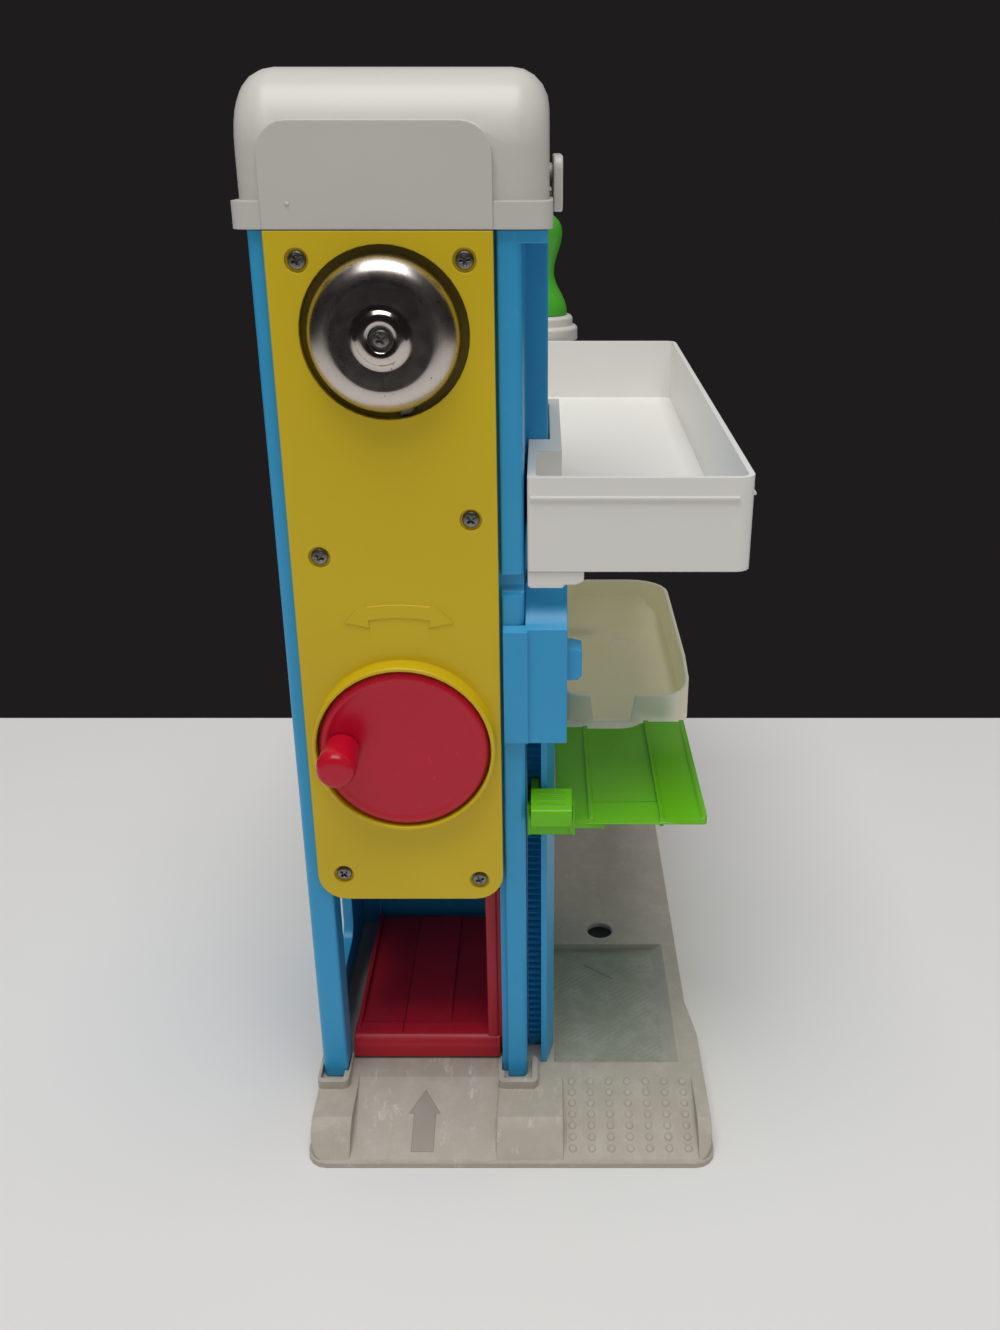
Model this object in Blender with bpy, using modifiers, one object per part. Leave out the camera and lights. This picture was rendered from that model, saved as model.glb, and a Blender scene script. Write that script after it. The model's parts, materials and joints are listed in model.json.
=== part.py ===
# Toy garage: a tower with a cranked car lift, two side decks and a rack-guided platform.
# Plan coordinates: x runs right from the base's left edge, y runs away from its near edge, z up.
# A parent empty moves everything so that the assembly stands centred over the world's origin.

import math

import bmesh
import bpy
from mathutils import Matrix, Vector

mm = 0.001

# General clearances and walls
fit = 0.3 * mm
running_gap = 0.4 * mm
side_wall = 2.6 * mm

# Base moulding
base_width = 182.6 * mm
base_length = 420 * mm
base_height = 15 * mm
base_corner = 9 * mm
base_waist = 3.5 * mm
waist_start = 70 * mm
waist_end = 94 * mm
waist_round = 20 * mm
flange_height = 2.6 * mm
flange_step = 1.2 * mm
ramp_length = 40.5 * mm
ramp_lip = 1 * mm
kerb_nose = 1.8 * mm
kerb_step = 8.8 * mm
kerb_flat = 25.5 * mm
kerb_break = 11 * mm
collar_height = 4.4 * mm
collar_wall = 2.6 * mm
collar_reach = 8 * mm
collar_side = 4.8 * mm
recess_depth = 4 * mm
recess_width = 59.5 * mm
recess_length = 92 * mm
recess_slope = 6 * mm
peg_hole_radius = 7 * mm
peg_hole_gap = 5.6 * mm
studded_ramp_width = 60.7 * mm

# Tower
tower_inset = 2.3 * mm
tower_width = 95.9 * mm
tower_depth = 136 * mm
frame_top = 391.2 * mm
column_width = 11.6 * mm
column_depth = 14 * mm
column_round = 3 * mm
column_step = 2.6 * mm
column_step_depth = 4 * mm
shoulder_start = 63.5 * mm
shoulder_step = 9.4 * mm
guide_width = 10.1 * mm
guide_rib = 2.4 * mm
guide_depth = 7.6 * mm
window_bottom = 42 * mm
window_height = 70 * mm
window_length = 58 * mm
window_corner = 8 * mm
window_rim = 2.5 * mm
window_rim_depth = 5 * mm
upper_window_bottom = 285 * mm
back_wall_top = 262.5 * mm
groove_height = 9 * mm
groove_depth = 4 * mm

# Front panel with its bell recess, crank ring and screws
panel_inset = 6.3 * mm
panel_right_inset = 9.9 * mm
panel_bottom = 117 * mm
panel_thickness = 2.4 * mm
panel_corner = 12 * mm
axis_offset = 0.6 * mm
bell_height_z = 356.4 * mm
bell_recess_radius = 30.5 * mm
bell_recess_depth = 5.8 * mm
bell_recess_wall = 2.2 * mm
bell_radius = 27.4 * mm
bell_sheet = 0.9 * mm
bell_crown = 13.8 * mm
bell_post_radius = 4.2 * mm
crank_z = 192.6 * mm
crank_rim_gap = 0.7 * mm
crank_thickness = 5.6 * mm
crank_gap = 1 * mm
ring_margin = 2.25 * mm
ring_wall = 2.1 * mm
ring_height = 7 * mm
shaft_radius = 4 * mm
knob_radius = 8 * mm
knob_length = 21 * mm
knob_inset = 10.1 * mm
knob_angle = math.radians(177)
knob_pin_radius = 2 * mm
screw_head_radius = 3.25 * mm
screw_head_height = 1.2 * mm
screw_shank_radius = 1.4 * mm
screw_recess_radius = 4.25 * mm
screw_recess_depth = 1.5 * mm
ear_radius = 4 * mm
ear_depth = 6 * mm
screw_inset = 11.1 * mm
left_screw_heights = (381.5 * mm, 273.1 * mm, 129.6 * mm)
right_screw_heights = (381.5 * mm, 287.9 * mm, 126.6 * mm)

# Roof
roof_height = 51.7 * mm
roof_wall = 2 * mm
roof_round = 26 * mm
roof_end_round = 13 * mm
roof_left_overhang = 4.9 * mm
roof_right_overhang = 1.5 * mm
lip_height = 9.2 * mm
lip_step = 1.6 * mm
lip_side_step = 1.3 * mm
roof_face_height = 34.5 * mm
sign_length = 60 * mm
sign_height = 19.5 * mm
sign_thickness = 3.4 * mm
sign_start = 30 * mm

# Elevator, its drum, pulley and cord
lift_setback = 12.1 * mm
lift_length = 100 * mm
lift_gap = 1.5 * mm
lift_floor_z = 26 * mm
lift_skirt = 9.4 * mm
lift_sheet = 2.4 * mm
mast_top = 112 * mm
mast_width = 5.3 * mm
mast_depth = 11.4 * mm
cord_radius = 0.6 * mm
cord_lead = 1.6 * mm
cord_wound = 1.1
drum_radius = 15 * mm
drum_flange = 19 * mm
drum_width = 6.8 * mm
drum_gap = 3.4 * mm
pulley_radius = 6.1 * mm
pulley_flange = 8.5 * mm
pulley_width = 4.4 * mm
pulley_z = 368 * mm
axle_radius = 1.5 * mm
striker_thickness = 1.8 * mm
striker_width = 5 * mm
striker_pivot_z = 262 * mm
striker_tip_z = 337 * mm
striker_lean = 7.55 * mm
peg_count = 3
peg_radius = 1.5 * mm
peg_circle = 16.5 * mm

# Upper deck
deck_bottom = 266.3 * mm
deck_rim = 303.7 * mm
deck_wall = 2.4 * mm
deck_right_overhang = 3.6 * mm
deck_flare = 2.6 * mm
deck_left = 5.5 * mm
deck_corner = 6 * mm
deck_side_gap = 1.3 * mm
deck_left_wall = 3.4 * mm
deck_pad_start = 42.7 * mm
deck_strip = 4.8 * mm
deck_strip_end = 13.5 * mm
deck_bead_z = 295.3 * mm
deck_bead = 1 * mm
bracket_width = 22 * mm

# Rail with its rack, and the housing over it
rail_setback = 10 * mm
slot_width = 6 * mm
rail_flange = 2.6 * mm
rail_spread = 3.4 * mm
rail_depth = 17 * mm
rail_web = 5 * mm
rail_top = 192.6 * mm
rack_pitch = 3.4 * mm
rack_depth = 2.5 * mm
housing_height = 65.8 * mm
housing_width = 16.7 * mm
housing_depth = 28 * mm
housing_plate_height = 51.4 * mm
housing_plate_width = 8.5 * mm
housing_plate_depth = 3.7 * mm
housing_setback = 2.5 * mm
lug_length = 6 * mm
lug_start = 27 * mm
lug_height = 12.4 * mm
lug_depth = 12 * mm

# Green platform and its release block
platform_width = 65.4 * mm
platform_length = 96.2 * mm
platform_z = 149 * mm
platform_sheet = 2.4 * mm
track_left = 16.4 * mm
track_slope = 15 * mm
near_lip = 2 * mm
track_width = 28.6 * mm
ridge_width = 2.4 * mm
ridge_height = 1.4 * mm
carriage_height = 7.4 * mm
carriage_depth = 4.3 * mm
release_width = 17.4 * mm
release_height = 7.8 * mm
release_slope = 4.6 * mm
release_pin_radius = 1 * mm
ear_sheet = 1.4 * mm

# Mid tray
tray_left_gap = 4.4 * mm
tray_width = 69 * mm
tray_length = 154.5 * mm
tray_bottom = 144 * mm
tray_height = 25 * mm
tray_near_height = 17 * mm
tray_slope = 34.5 * mm
tray_wall = 1.8 * mm
tray_corner = 15 * mm
tray_far_corner = 22 * mm
tray_dimple_radius = 6.5 * mm
tray_dimple_depth = 0.7 * mm
tray_fillet = 25 * mm
tray_gap = 4.5 * mm
notch_left = 19.5 * mm
notch_right = 38.3 * mm
notch_flare = 2.9 * mm
landing_left = 2 * mm
landing_right = 44 * mm
landing_reach = 9.5 * mm
landing_corner = 12 * mm
landing_sheet = 2.2 * mm

# Rear column, its cap and the green post
column_radius = 11 * mm
column_offset = 5.8 * mm
column_end = 22.2 * mm
column_taper = 12 * mm
cap_radius = 21.5 * mm
cap_step_radius = 18.3 * mm
cap_height = 8.7 * mm
cap_step_height = 6.3 * mm
post_height = 61 * mm
post_head = 11.4 * mm
post_waist = 6.3 * mm
post_waist_height = 25.7 * mm
post_foot = 14.5 * mm
post_foot_height = 2 * mm
post_spigot = 4 * mm

# Planes and lines that follow from the sizes above
tower_front = ramp_length
tower_left = tower_inset
tower_right = tower_left + tower_width
tower_back = tower_front + tower_depth
shoulder_y = tower_front + shoulder_start
shoulder_right = tower_right + shoulder_step
left_inner = tower_left + column_width
right_inner = tower_right - column_width
floor_z = base_height + fit
roof_bottom = frame_top + fit
roof_top = roof_bottom + roof_height
panel_left = tower_left + panel_inset
panel_width = tower_width - panel_inset - panel_right_inset
panel_right = panel_left + panel_width
panel_middle = panel_left + panel_width / 2 + axis_offset
panel_back = tower_front - fit
panel_front = panel_back - panel_thickness
panel_top = roof_bottom - fit
ring_outer = panel_width / 2 - ring_margin
ring_inner = ring_outer - ring_wall
crank_radius = ring_inner - crank_rim_gap
knob_offset = crank_radius - knob_inset
screw_left = panel_left + screw_inset
screw_right = panel_right - screw_inset + 1 * mm
recess_floor = panel_front + bell_recess_depth
lift_left = left_inner + lift_gap
lift_right = right_inner - lift_gap
lift_front = tower_front + lift_setback
lift_back = lift_front + lift_length
lift_bottom = lift_floor_z - lift_skirt
guide_front = tower_front + column_depth
guide_back = guide_front + guide_width
drum_front = panel_back + drum_gap
drum_back = drum_front + drum_width
drum_middle = (drum_front + drum_back) / 2
cord_wrap = drum_radius + cord_radius + fit
pulley_wrap = pulley_radius + cord_radius + fit
mast_x = lift_right - mast_width / 2
mast_front = guide_front + fit
pulley_y = drum_middle + pulley_wrap
cord_back = pulley_y + pulley_wrap
rail_left = tower_right + running_gap
rail_front = tower_front + rail_setback
rail_back = rail_front + rail_depth
flange_left = rail_left + slot_width
rail_right = flange_left + rail_flange + rail_spread
rack_root = rail_back - rail_web
rack_tip = rack_root - rack_depth
housing_bottom = rail_top + running_gap
housing_top = housing_bottom + housing_height
housing_left = tower_right + fit
housing_right = housing_left + housing_width
housing_front = tower_front - housing_setback
bracket_bottom = housing_top + fit
deck_near_left = tower_right + deck_side_gap
deck_right = base_width + deck_right_overhang
deck_far_right = deck_right + deck_flare
deck_floor = deck_bottom + deck_wall
platform_left = rail_right + 2 * running_gap
platform_right = platform_left + platform_width
platform_front = rail_front + fit
platform_back = platform_front + platform_length
carriage_bottom = platform_z - platform_sheet - 2 * mm
carriage_top = carriage_bottom + carriage_height
release_left = rail_left + ear_sheet + running_gap
release_right = release_left + release_width
release_near = panel_front - 1.3 * mm
release_bottom = carriage_top + 1.6 * mm
release_rear = rail_front - 2 * running_gap
release_pivot_y = rail_front - 3 * mm
release_pivot_z = release_bottom + 3.4 * mm
tray_left = shoulder_right + tray_left_gap
tray_front = platform_back + tray_gap
tray_right = tray_left + tray_width
tray_back = tray_front + tray_length
column_x = tray_left - column_offset
column_y = base_length - column_end
deck_far = column_y - cap_radius - fit - deck_bead
column_top = deck_rim - 2 * mm
roof_left = tower_left - roof_left_overhang
roof_right = shoulder_right + roof_right_overhang
roof_front = tower_front - 0.5 * mm
roof_back = tower_back + 1.5 * mm
recess_left = rail_right + fit
recess_front = rail_front
studded_left = recess_left + 3.7 * mm


def remove_start_objects():
    for found in list(bpy.data.objects):
        bpy.data.objects.remove(found, do_unlink=True)


remove_start_objects()
parts = bpy.data.collections.new("toy_garage")
shaping = bpy.data.collections.new("shaping_tools")
bpy.context.scene.collection.children.link(parts)
bpy.context.scene.collection.children.link(shaping)

# The widest pieces across are the roof's lip and the deck's bead; along, the base and the knob.
knob_tip = panel_front - crank_gap - crank_thickness - fit - knob_length
deck_reach = deck_far_right + deck_bead - deck_flare * deck_corner / (deck_far - tower_front - deck_corner)
plan_centre_x = (min(roof_left, 0) + deck_reach) / 2
plan_centre_y = (min(knob_tip, 0) + base_length) / 2
assembly = bpy.data.objects.new("assembly_origin", None)
assembly.location = (-plan_centre_x, -plan_centre_y, 0)
parts.objects.link(assembly)


def linear(channel):
    channel = channel / 255
    if channel <= 0.04045:
        return channel / 12.92
    return ((channel + 0.055) / 1.055) ** 2.4


def material(name, red, green, blue, roughness, metallic=0.0):
    made = bpy.data.materials.new(name)
    made.use_nodes = True
    shader = made.node_tree.nodes["Principled BSDF"]
    shader.inputs["Base Color"].default_value = (linear(red), linear(green), linear(blue), 1)
    shader.inputs["Roughness"].default_value = roughness
    shader.inputs["Metallic"].default_value = metallic
    return made


blue_plastic = material("blue_plastic", 60, 147, 190, 0.38)
yellow_plastic = material("yellow_plastic", 217, 191, 30, 0.35)
red_plastic = material("red_plastic", 196, 20, 46, 0.3)
dark_red_plastic = material("dark_red_plastic", 160, 20, 38, 0.4)
green_plastic = material("green_plastic", 108, 176, 24, 0.35)
post_green_plastic = material("post_green_plastic", 78, 166, 50, 0.3)
white_plastic = material("white_plastic", 230, 227, 220, 0.4)
grey_plastic = material("grey_plastic", 171, 163, 152, 0.55)
beige_plastic = material("beige_plastic", 207, 195, 160, 0.4)
nylon_plastic = material("nylon_plastic", 222, 220, 210, 0.45)
chrome = material("chrome", 225, 225, 225, 0.08, 1.0)
zinc_steel = material("zinc_steel", 170, 170, 165, 0.35, 1.0)
cord_fibre = material("cord_fibre", 235, 232, 222, 0.8)


def register(made, surface, collection=parts, parent=assembly):
    if surface is not None:
        made.data.materials.append(surface)
    made.parent = parent
    collection.objects.link(made)
    return made


def box(name, low, high, surface=None):
    low = Vector(low)
    high = Vector(high)
    form = bmesh.new()
    bmesh.ops.create_cube(form, size=1)
    bmesh.ops.scale(form, vec=high - low, verts=form.verts)
    mesh = bpy.data.meshes.new(name)
    form.to_mesh(mesh)
    form.free()
    made = bpy.data.objects.new(name, mesh)
    made.location = (low + high) / 2
    return register(made, surface)


def rounded(points, radii, steps=4):
    # Each corner with a radius becomes an arc tangent to its two sides.
    outline = []
    count = len(points)
    for index, (point, radius) in enumerate(zip(points, radii)):
        corner = Vector(point)
        if radius == 0:
            outline.append(corner)
            continue
        before = (Vector(points[index - 1]) - corner).normalized()
        after = (Vector(points[(index + 1) % count]) - corner).normalized()
        half = math.acos(max(-1, min(1, before.dot(after)))) / 2
        centre = corner + (before + after).normalized() * radius / math.sin(half)
        start = corner + before * radius / math.tan(half) - centre
        end = corner + after * radius / math.tan(half) - centre
        sweep = start.angle_signed(end)
        for step in range(steps + 1):
            outline.append(centre + Matrix.Rotation(-sweep * step / steps, 2) @ start)
    return outline


def rectangle(left, right, low, high, radius=0.0, steps=4):
    corners = [(left, low), (right, low), (right, high), (left, high)]
    return rounded(corners, [radius] * 4, steps)


prism_turns = {
    "X": Matrix(((0, 0, 1), (1, 0, 0), (0, 1, 0))),
    "Y": Matrix(((1, 0, 0), (0, 0, -1), (0, 1, 0))),
    "Z": Matrix.Identity(3),
}
prism_axes = {"X": Vector((1, 0, 0)), "Y": Vector((0, 1, 0)), "Z": Vector((0, 0, 1))}


def prism(name, axis, outlines, low, high, surface=None):
    # A flat filled curve, extruded along the axis from low to high; later outlines are holes.
    curve = bpy.data.curves.new(name, "CURVE")
    curve.dimensions = "2D"
    curve.fill_mode = "BOTH"
    curve.extrude = (high - low) / 2
    for outline in outlines:
        spline = curve.splines.new("POLY")
        spline.points.add(len(outline) - 1)
        for spot, corner in zip(spline.points, outline):
            spot.co = (corner[0], corner[1], 0, 1)
        spline.use_cyclic_u = True
    drawn = bpy.data.objects.new(name + "_outline", curve)
    shaping.objects.link(drawn)
    bpy.context.view_layer.update()
    mesh = bpy.data.meshes.new_from_object(drawn.evaluated_get(bpy.context.evaluated_depsgraph_get()))
    bpy.data.objects.remove(drawn, do_unlink=True)
    form = bmesh.new()
    form.from_mesh(mesh)
    bmesh.ops.remove_doubles(form, verts=form.verts, dist=1e-6)
    bmesh.ops.recalc_face_normals(form, faces=form.faces)
    bmesh.ops.transform(form, matrix=prism_turns[axis].to_4x4(), verts=form.verts)
    form.to_mesh(mesh)
    form.free()
    mesh.name = name
    made = bpy.data.objects.new(name, mesh)
    made.location = prism_axes[axis] * (low + high) / 2
    return register(made, surface)


turned_turns = {"Z": (0, 0, 0), "Y": (math.pi / 2, 0, 0), "X": (0, math.pi / 2, 0)}


def turned(name, axis, profile, place, surface=None, steps=32, closed=False):
    # The profile is (radius, height); height runs up for Z, towards the viewer for Y, right for X.
    mesh = bpy.data.meshes.new(name)
    spots = [(radius, 0, height) for radius, height in profile]
    links = [(index, index + 1) for index in range(len(spots) - 1)]
    if closed:
        links.append((len(spots) - 1, 0))
    mesh.from_pydata(spots, links, [])
    made = bpy.data.objects.new(name, mesh)
    made.location = place
    made.rotation_euler = turned_turns[axis]
    sweep = made.modifiers.new("turn", "SCREW")
    sweep.steps = steps
    sweep.render_steps = steps
    sweep.use_merge_vertices = True
    sweep.merge_threshold = 0.000001
    sweep.use_smooth_shade = False
    return register(made, surface)


def rod(name, axis, radius, place, length, surface=None, steps=24):
    # Runs from its place along the axis: up, towards the viewer or right.
    return turned(name, axis, [(0, length), (radius, length), (radius, 0), (0, 0)], place, surface, steps)


def tube(name, points, radius, surface):
    curve = bpy.data.curves.new(name, "CURVE")
    curve.dimensions = "3D"
    curve.bevel_depth = radius
    curve.bevel_resolution = 1
    curve.use_fill_caps = True
    spline = curve.splines.new("POLY")
    spline.points.add(len(points) - 1)
    for spot, place in zip(spline.points, points):
        spot.co = (*place, 1)
    made = bpy.data.objects.new(name, curve)
    return register(made, surface)


def shape_with(target, tool, operation):
    shaping_step = target.modifiers.new(tool.name, "BOOLEAN")
    shaping_step.operation = operation
    shaping_step.object = tool
    shaping_step.solver = "EXACT"
    parts.objects.unlink(tool)
    shaping.objects.link(tool)
    tool.hide_render = True
    tool.display_type = "WIRE"


def join(target, *tools):
    for tool in tools:
        shape_with(target, tool, "UNION")
    return target


def cut(target, *tools):
    for tool in tools:
        shape_with(target, tool, "DIFFERENCE")
    return target


def pivot(made, point):
    # Moves the object's origin to a joint's axis and leaves its shape where it was.
    made.data.transform(Matrix.Translation(made.location - Vector(point)))
    made.location = point
    return made


def joint_empty(name, place):
    made = bpy.data.objects.new(name, None)
    made.location = place
    made.parent = assembly
    parts.objects.link(made)
    return made


def carry(empty, *carried):
    for made in carried:
        made.parent = empty
        made.location = Vector(made.location) - empty.location


def base_outline(inset):
    # The right side draws in a little behind the near ramp.
    right = base_width - inset
    back = base_length - inset
    corner = base_corner - inset
    return rounded(
        [
            (inset, inset), (right, inset), (right, waist_start), (right - base_waist, waist_end),
            (right - base_waist, back), (inset, back),
        ],
        [corner, corner, waist_round, waist_round, corner, corner],
    )


def build_base():
    base = prism("base", "Z", [base_outline(0)], 0, flange_height, grey_plastic)
    join(base, prism("base_body", "Z", [base_outline(flange_step)], flange_height / 2, base_height))

    # Kerbs fall steeply to the near edge; the two ramps between them fall gently.
    above = base_height + 10 * mm
    kerb = [
        (-flange_height, flange_height),
        (kerb_nose, flange_height),
        (kerb_step, kerb_break),
        (tower_front - kerb_flat, base_height),
        (tower_front - kerb_flat, above),
        (-flange_height, above),
    ]
    ramp = [
        (-flange_height, flange_height),
        (ramp_lip, flange_height),
        (ramp_length, base_height),
        (ramp_length, above),
        (-flange_height, above),
    ]
    arrow_left = left_inner + 5.2 * mm
    arrow_right = right_inner - 1.7 * mm
    studded_right = studded_left + studded_ramp_width
    cut(
        base,
        prism("kerb_fall", "X", [kerb], -flange_height, base_width + flange_height),
        prism("arrow_ramp", "X", [ramp], arrow_left, arrow_right),
        prism("studded_ramp", "X", [ramp], studded_left, studded_right),
    )

    # Collars stand round the feet of the two near columns and of the rear column.
    collar_front = tower_front - collar_reach
    collar_top = base_height + collar_height
    collar_floor = base_height + 0.6 * mm
    spans = (
        ("left", tower_left - 1.7 * mm, lift_left - fit, guide_front, 1.2 * mm),
        ("right", lift_right - fit, tower_right + collar_side, rail_front - fit, collar_wall),
    )
    for name, left, right, far, wall in spans:
        outer = rectangle(left, right, collar_front, far, collar_wall)
        inner = rectangle(left + wall, right - collar_wall, collar_front + collar_wall, far + collar_wall, 1 * mm)
        join(base, prism(name + "_collar", "Z", [outer], base_height - 1 * mm, collar_top))
        cut(base, prism(name + "_collar_inside", "Z", [inner], collar_floor, above))
    join(base, rod("rear_collar", "Z", column_radius + 2 * collar_wall, (column_x, column_y, base_height - 1 * mm),
                   collar_height + 1 * mm, steps=32))
    foot = running_gap
    cut(
        base,
        box("left_foot", (tower_left - foot, tower_front - foot, base_height),
            (left_inner + foot, guide_back, above)),
        box("right_foot", (right_inner - foot, tower_front - foot, base_height),
            (tower_right + foot, guide_back, above)),
        rod("rear_foot", "Z", column_radius + foot, (column_x, column_y, base_height), above, steps=32),
    )

    # The recess under the green platform, and the peg hole behind it.
    recess_right = recess_left + recess_width
    recess_back = recess_front + recess_length
    hole_y = recess_back + peg_hole_gap + peg_hole_radius
    hole_x = recess_left + recess_width * 0.44
    recess_floor_z = base_height - recess_depth
    run_out = recess_slope * (above - base_height) / recess_depth
    recess = [
        (recess_left, recess_floor_z), (recess_right - recess_slope, recess_floor_z),
        (recess_right + run_out, above), (recess_left, above),
    ]
    wall = side_wall
    inside = tower_front + 2 * wall
    hollow_top = base_height - wall
    tub = recess_depth + wall
    hollow_right = base_width - base_waist - 2 * wall
    cut(
        base,
        prism("platform_recess", "Y", [recess], recess_front, recess_back),
        box("hollow_left", (2 * wall, inside, -wall), (recess_left - wall, base_length - 2 * wall, hollow_top)),
        box("hollow_right", (recess_left - 2 * wall, recess_back + wall, -wall),
            (hollow_right, base_length - 2 * wall, hollow_top)),
        box("hollow_tub", (recess_left - 2 * wall, inside, -wall),
            (hollow_right, recess_back + 2 * wall, base_height - tub)),
        rod("peg_hole", "Z", peg_hole_radius, (hole_x, hole_y, -wall), above + wall),
    )
    return base


def ear(name, x, column_x_edge, height):
    # A screw boss that stands in from a column, behind the front panel.
    boss = rod(name, "Y", ear_radius, (x, tower_front + ear_depth, height), ear_depth, steps=20)
    low = min(x, column_x_edge)
    high = max(x, column_x_edge)
    web = box(name + "_web", (low, tower_front + column_step_depth + fit, height - ear_radius * 0.8),
              (high, tower_front + ear_depth - fit, height + ear_radius * 0.8))
    pilot = rod(name + "_pilot", "Y", screw_shank_radius + fit, (x, tower_front + 2 * ear_depth, height),
                3 * ear_depth, steps=16)
    return boss, web, pilot


def build_left_frame():
    outline = rounded(
        [
            (tower_left, tower_front), (left_inner, tower_front), (left_inner, guide_front),
            (tower_left + side_wall, guide_front), (tower_left + side_wall, tower_back - column_depth),
            (left_inner, tower_back - column_depth), (left_inner, tower_back), (tower_left, tower_back),
        ],
        [column_round, column_round / 2, 0, 0, 0, 0, column_round / 2, column_round],
    )
    frame = prism("left_frame", "Z", [outline], floor_z, frame_top, blue_plastic)
    window_front = guide_front + window_rim + 1 * mm
    for name, low in (("lower_window", window_bottom), ("upper_window", upper_window_bottom)):
        back = window_front + window_length
        top = low + window_height
        rim = rectangle(window_front - window_rim, back + window_rim, low - window_rim, top + window_rim,
                        window_corner + window_rim)
        hole = rectangle(window_front, back, low, top, window_corner)
        join(frame, prism(name + "_rim", "X", [rim], tower_left + fit, tower_left + window_rim_depth))
        cut(frame, prism(name, "X", [hole], tower_left - window_rim, tower_left + 2 * window_rim_depth))
    for index, height in enumerate(left_screw_heights):
        boss, web, pilot = ear("left_ear_%d" % (index + 1), screw_left, left_inner - column_round, height)
        join(frame, boss, web)
        cut(frame, pilot)
    return frame


def build_right_frame():
    inner_wall = tower_right - side_wall
    shoulder_inner = shoulder_right - side_wall
    rib_end = inner_wall - guide_depth
    outline = rounded(
        [
            (right_inner, tower_front + column_step_depth),
            (right_inner + column_step, tower_front + column_step_depth),
            (right_inner + column_step, tower_front), (tower_right, tower_front),
            (tower_right, shoulder_y), (shoulder_right, shoulder_y),
            (shoulder_right, tower_back), (shoulder_right - column_width, tower_back),
            (shoulder_right - column_width, tower_back - column_depth),
            (shoulder_inner, tower_back - column_depth), (shoulder_inner, shoulder_y + side_wall),
            (inner_wall, shoulder_y + side_wall), (inner_wall, guide_back + guide_rib),
            (rib_end, guide_back + guide_rib), (rib_end, guide_back), (inner_wall, guide_back),
            (inner_wall, guide_front), (right_inner, guide_front),
        ],
        [0, 0, 1 * mm, column_round, 0, 1 * mm, column_round] + [0] * 11,
    )
    frame = prism("right_frame", "Z", [outline], floor_z, frame_top, blue_plastic)
    for index, height in enumerate(right_screw_heights):
        boss, web, pilot = ear("right_ear_%d" % (index + 1), screw_right, right_inner + column_step / 2, height)
        join(frame, boss, web)
        cut(frame, pilot)
    top_plate = box("top_plate", (inner_wall + fit, tower_front + fit, frame_top - side_wall - 1.7 * mm),
                    (shoulder_right - fit, shoulder_y + side_wall / 2, frame_top))
    pulley_seat = box("pulley_seat", (right_inner + fit, guide_front - pulley_flange / 2, pulley_z - pulley_radius),
                      (inner_wall + fit, guide_back + guide_rib / 2, pulley_z + pulley_radius))
    tray_ledge = box("tray_ledge", (shoulder_inner + fit, tower_back - 1.6 * column_depth, tray_bottom - 6 * mm),
                     (tray_left + 2 * tray_wall, tower_back - column_round, tray_bottom - fit))
    join(frame, top_plate, pulley_seat, tray_ledge)
    groove_top = deck_bottom - 1.2 * mm
    groove_profile = rounded(
        [(tower_front - 1 * mm, groove_top - groove_height), (tower_front + groove_depth, groove_top - groove_height),
         (tower_front + groove_depth, groove_top), (tower_front - 1 * mm, groove_top)], [0, groove_depth * 0.9, 0, 0],
    )
    groove = prism("column_groove", "X", [groove_profile], right_inner - 1 * mm, tower_right + 1 * mm)
    axle_seat = rod("axle_seat", "X", axle_radius + fit, (right_inner - column_step, pulley_y, pulley_z),
                    column_width / 2 + column_step, steps=16)
    cut(frame, groove, axle_seat)
    return frame


def build_back_wall():
    return box("back_wall", (left_inner + fit, tower_back - column_depth + 1 * mm, floor_z),
               (shoulder_right - column_width - fit, tower_back - column_depth + 1 * mm + side_wall, back_wall_top),
               blue_plastic)


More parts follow.
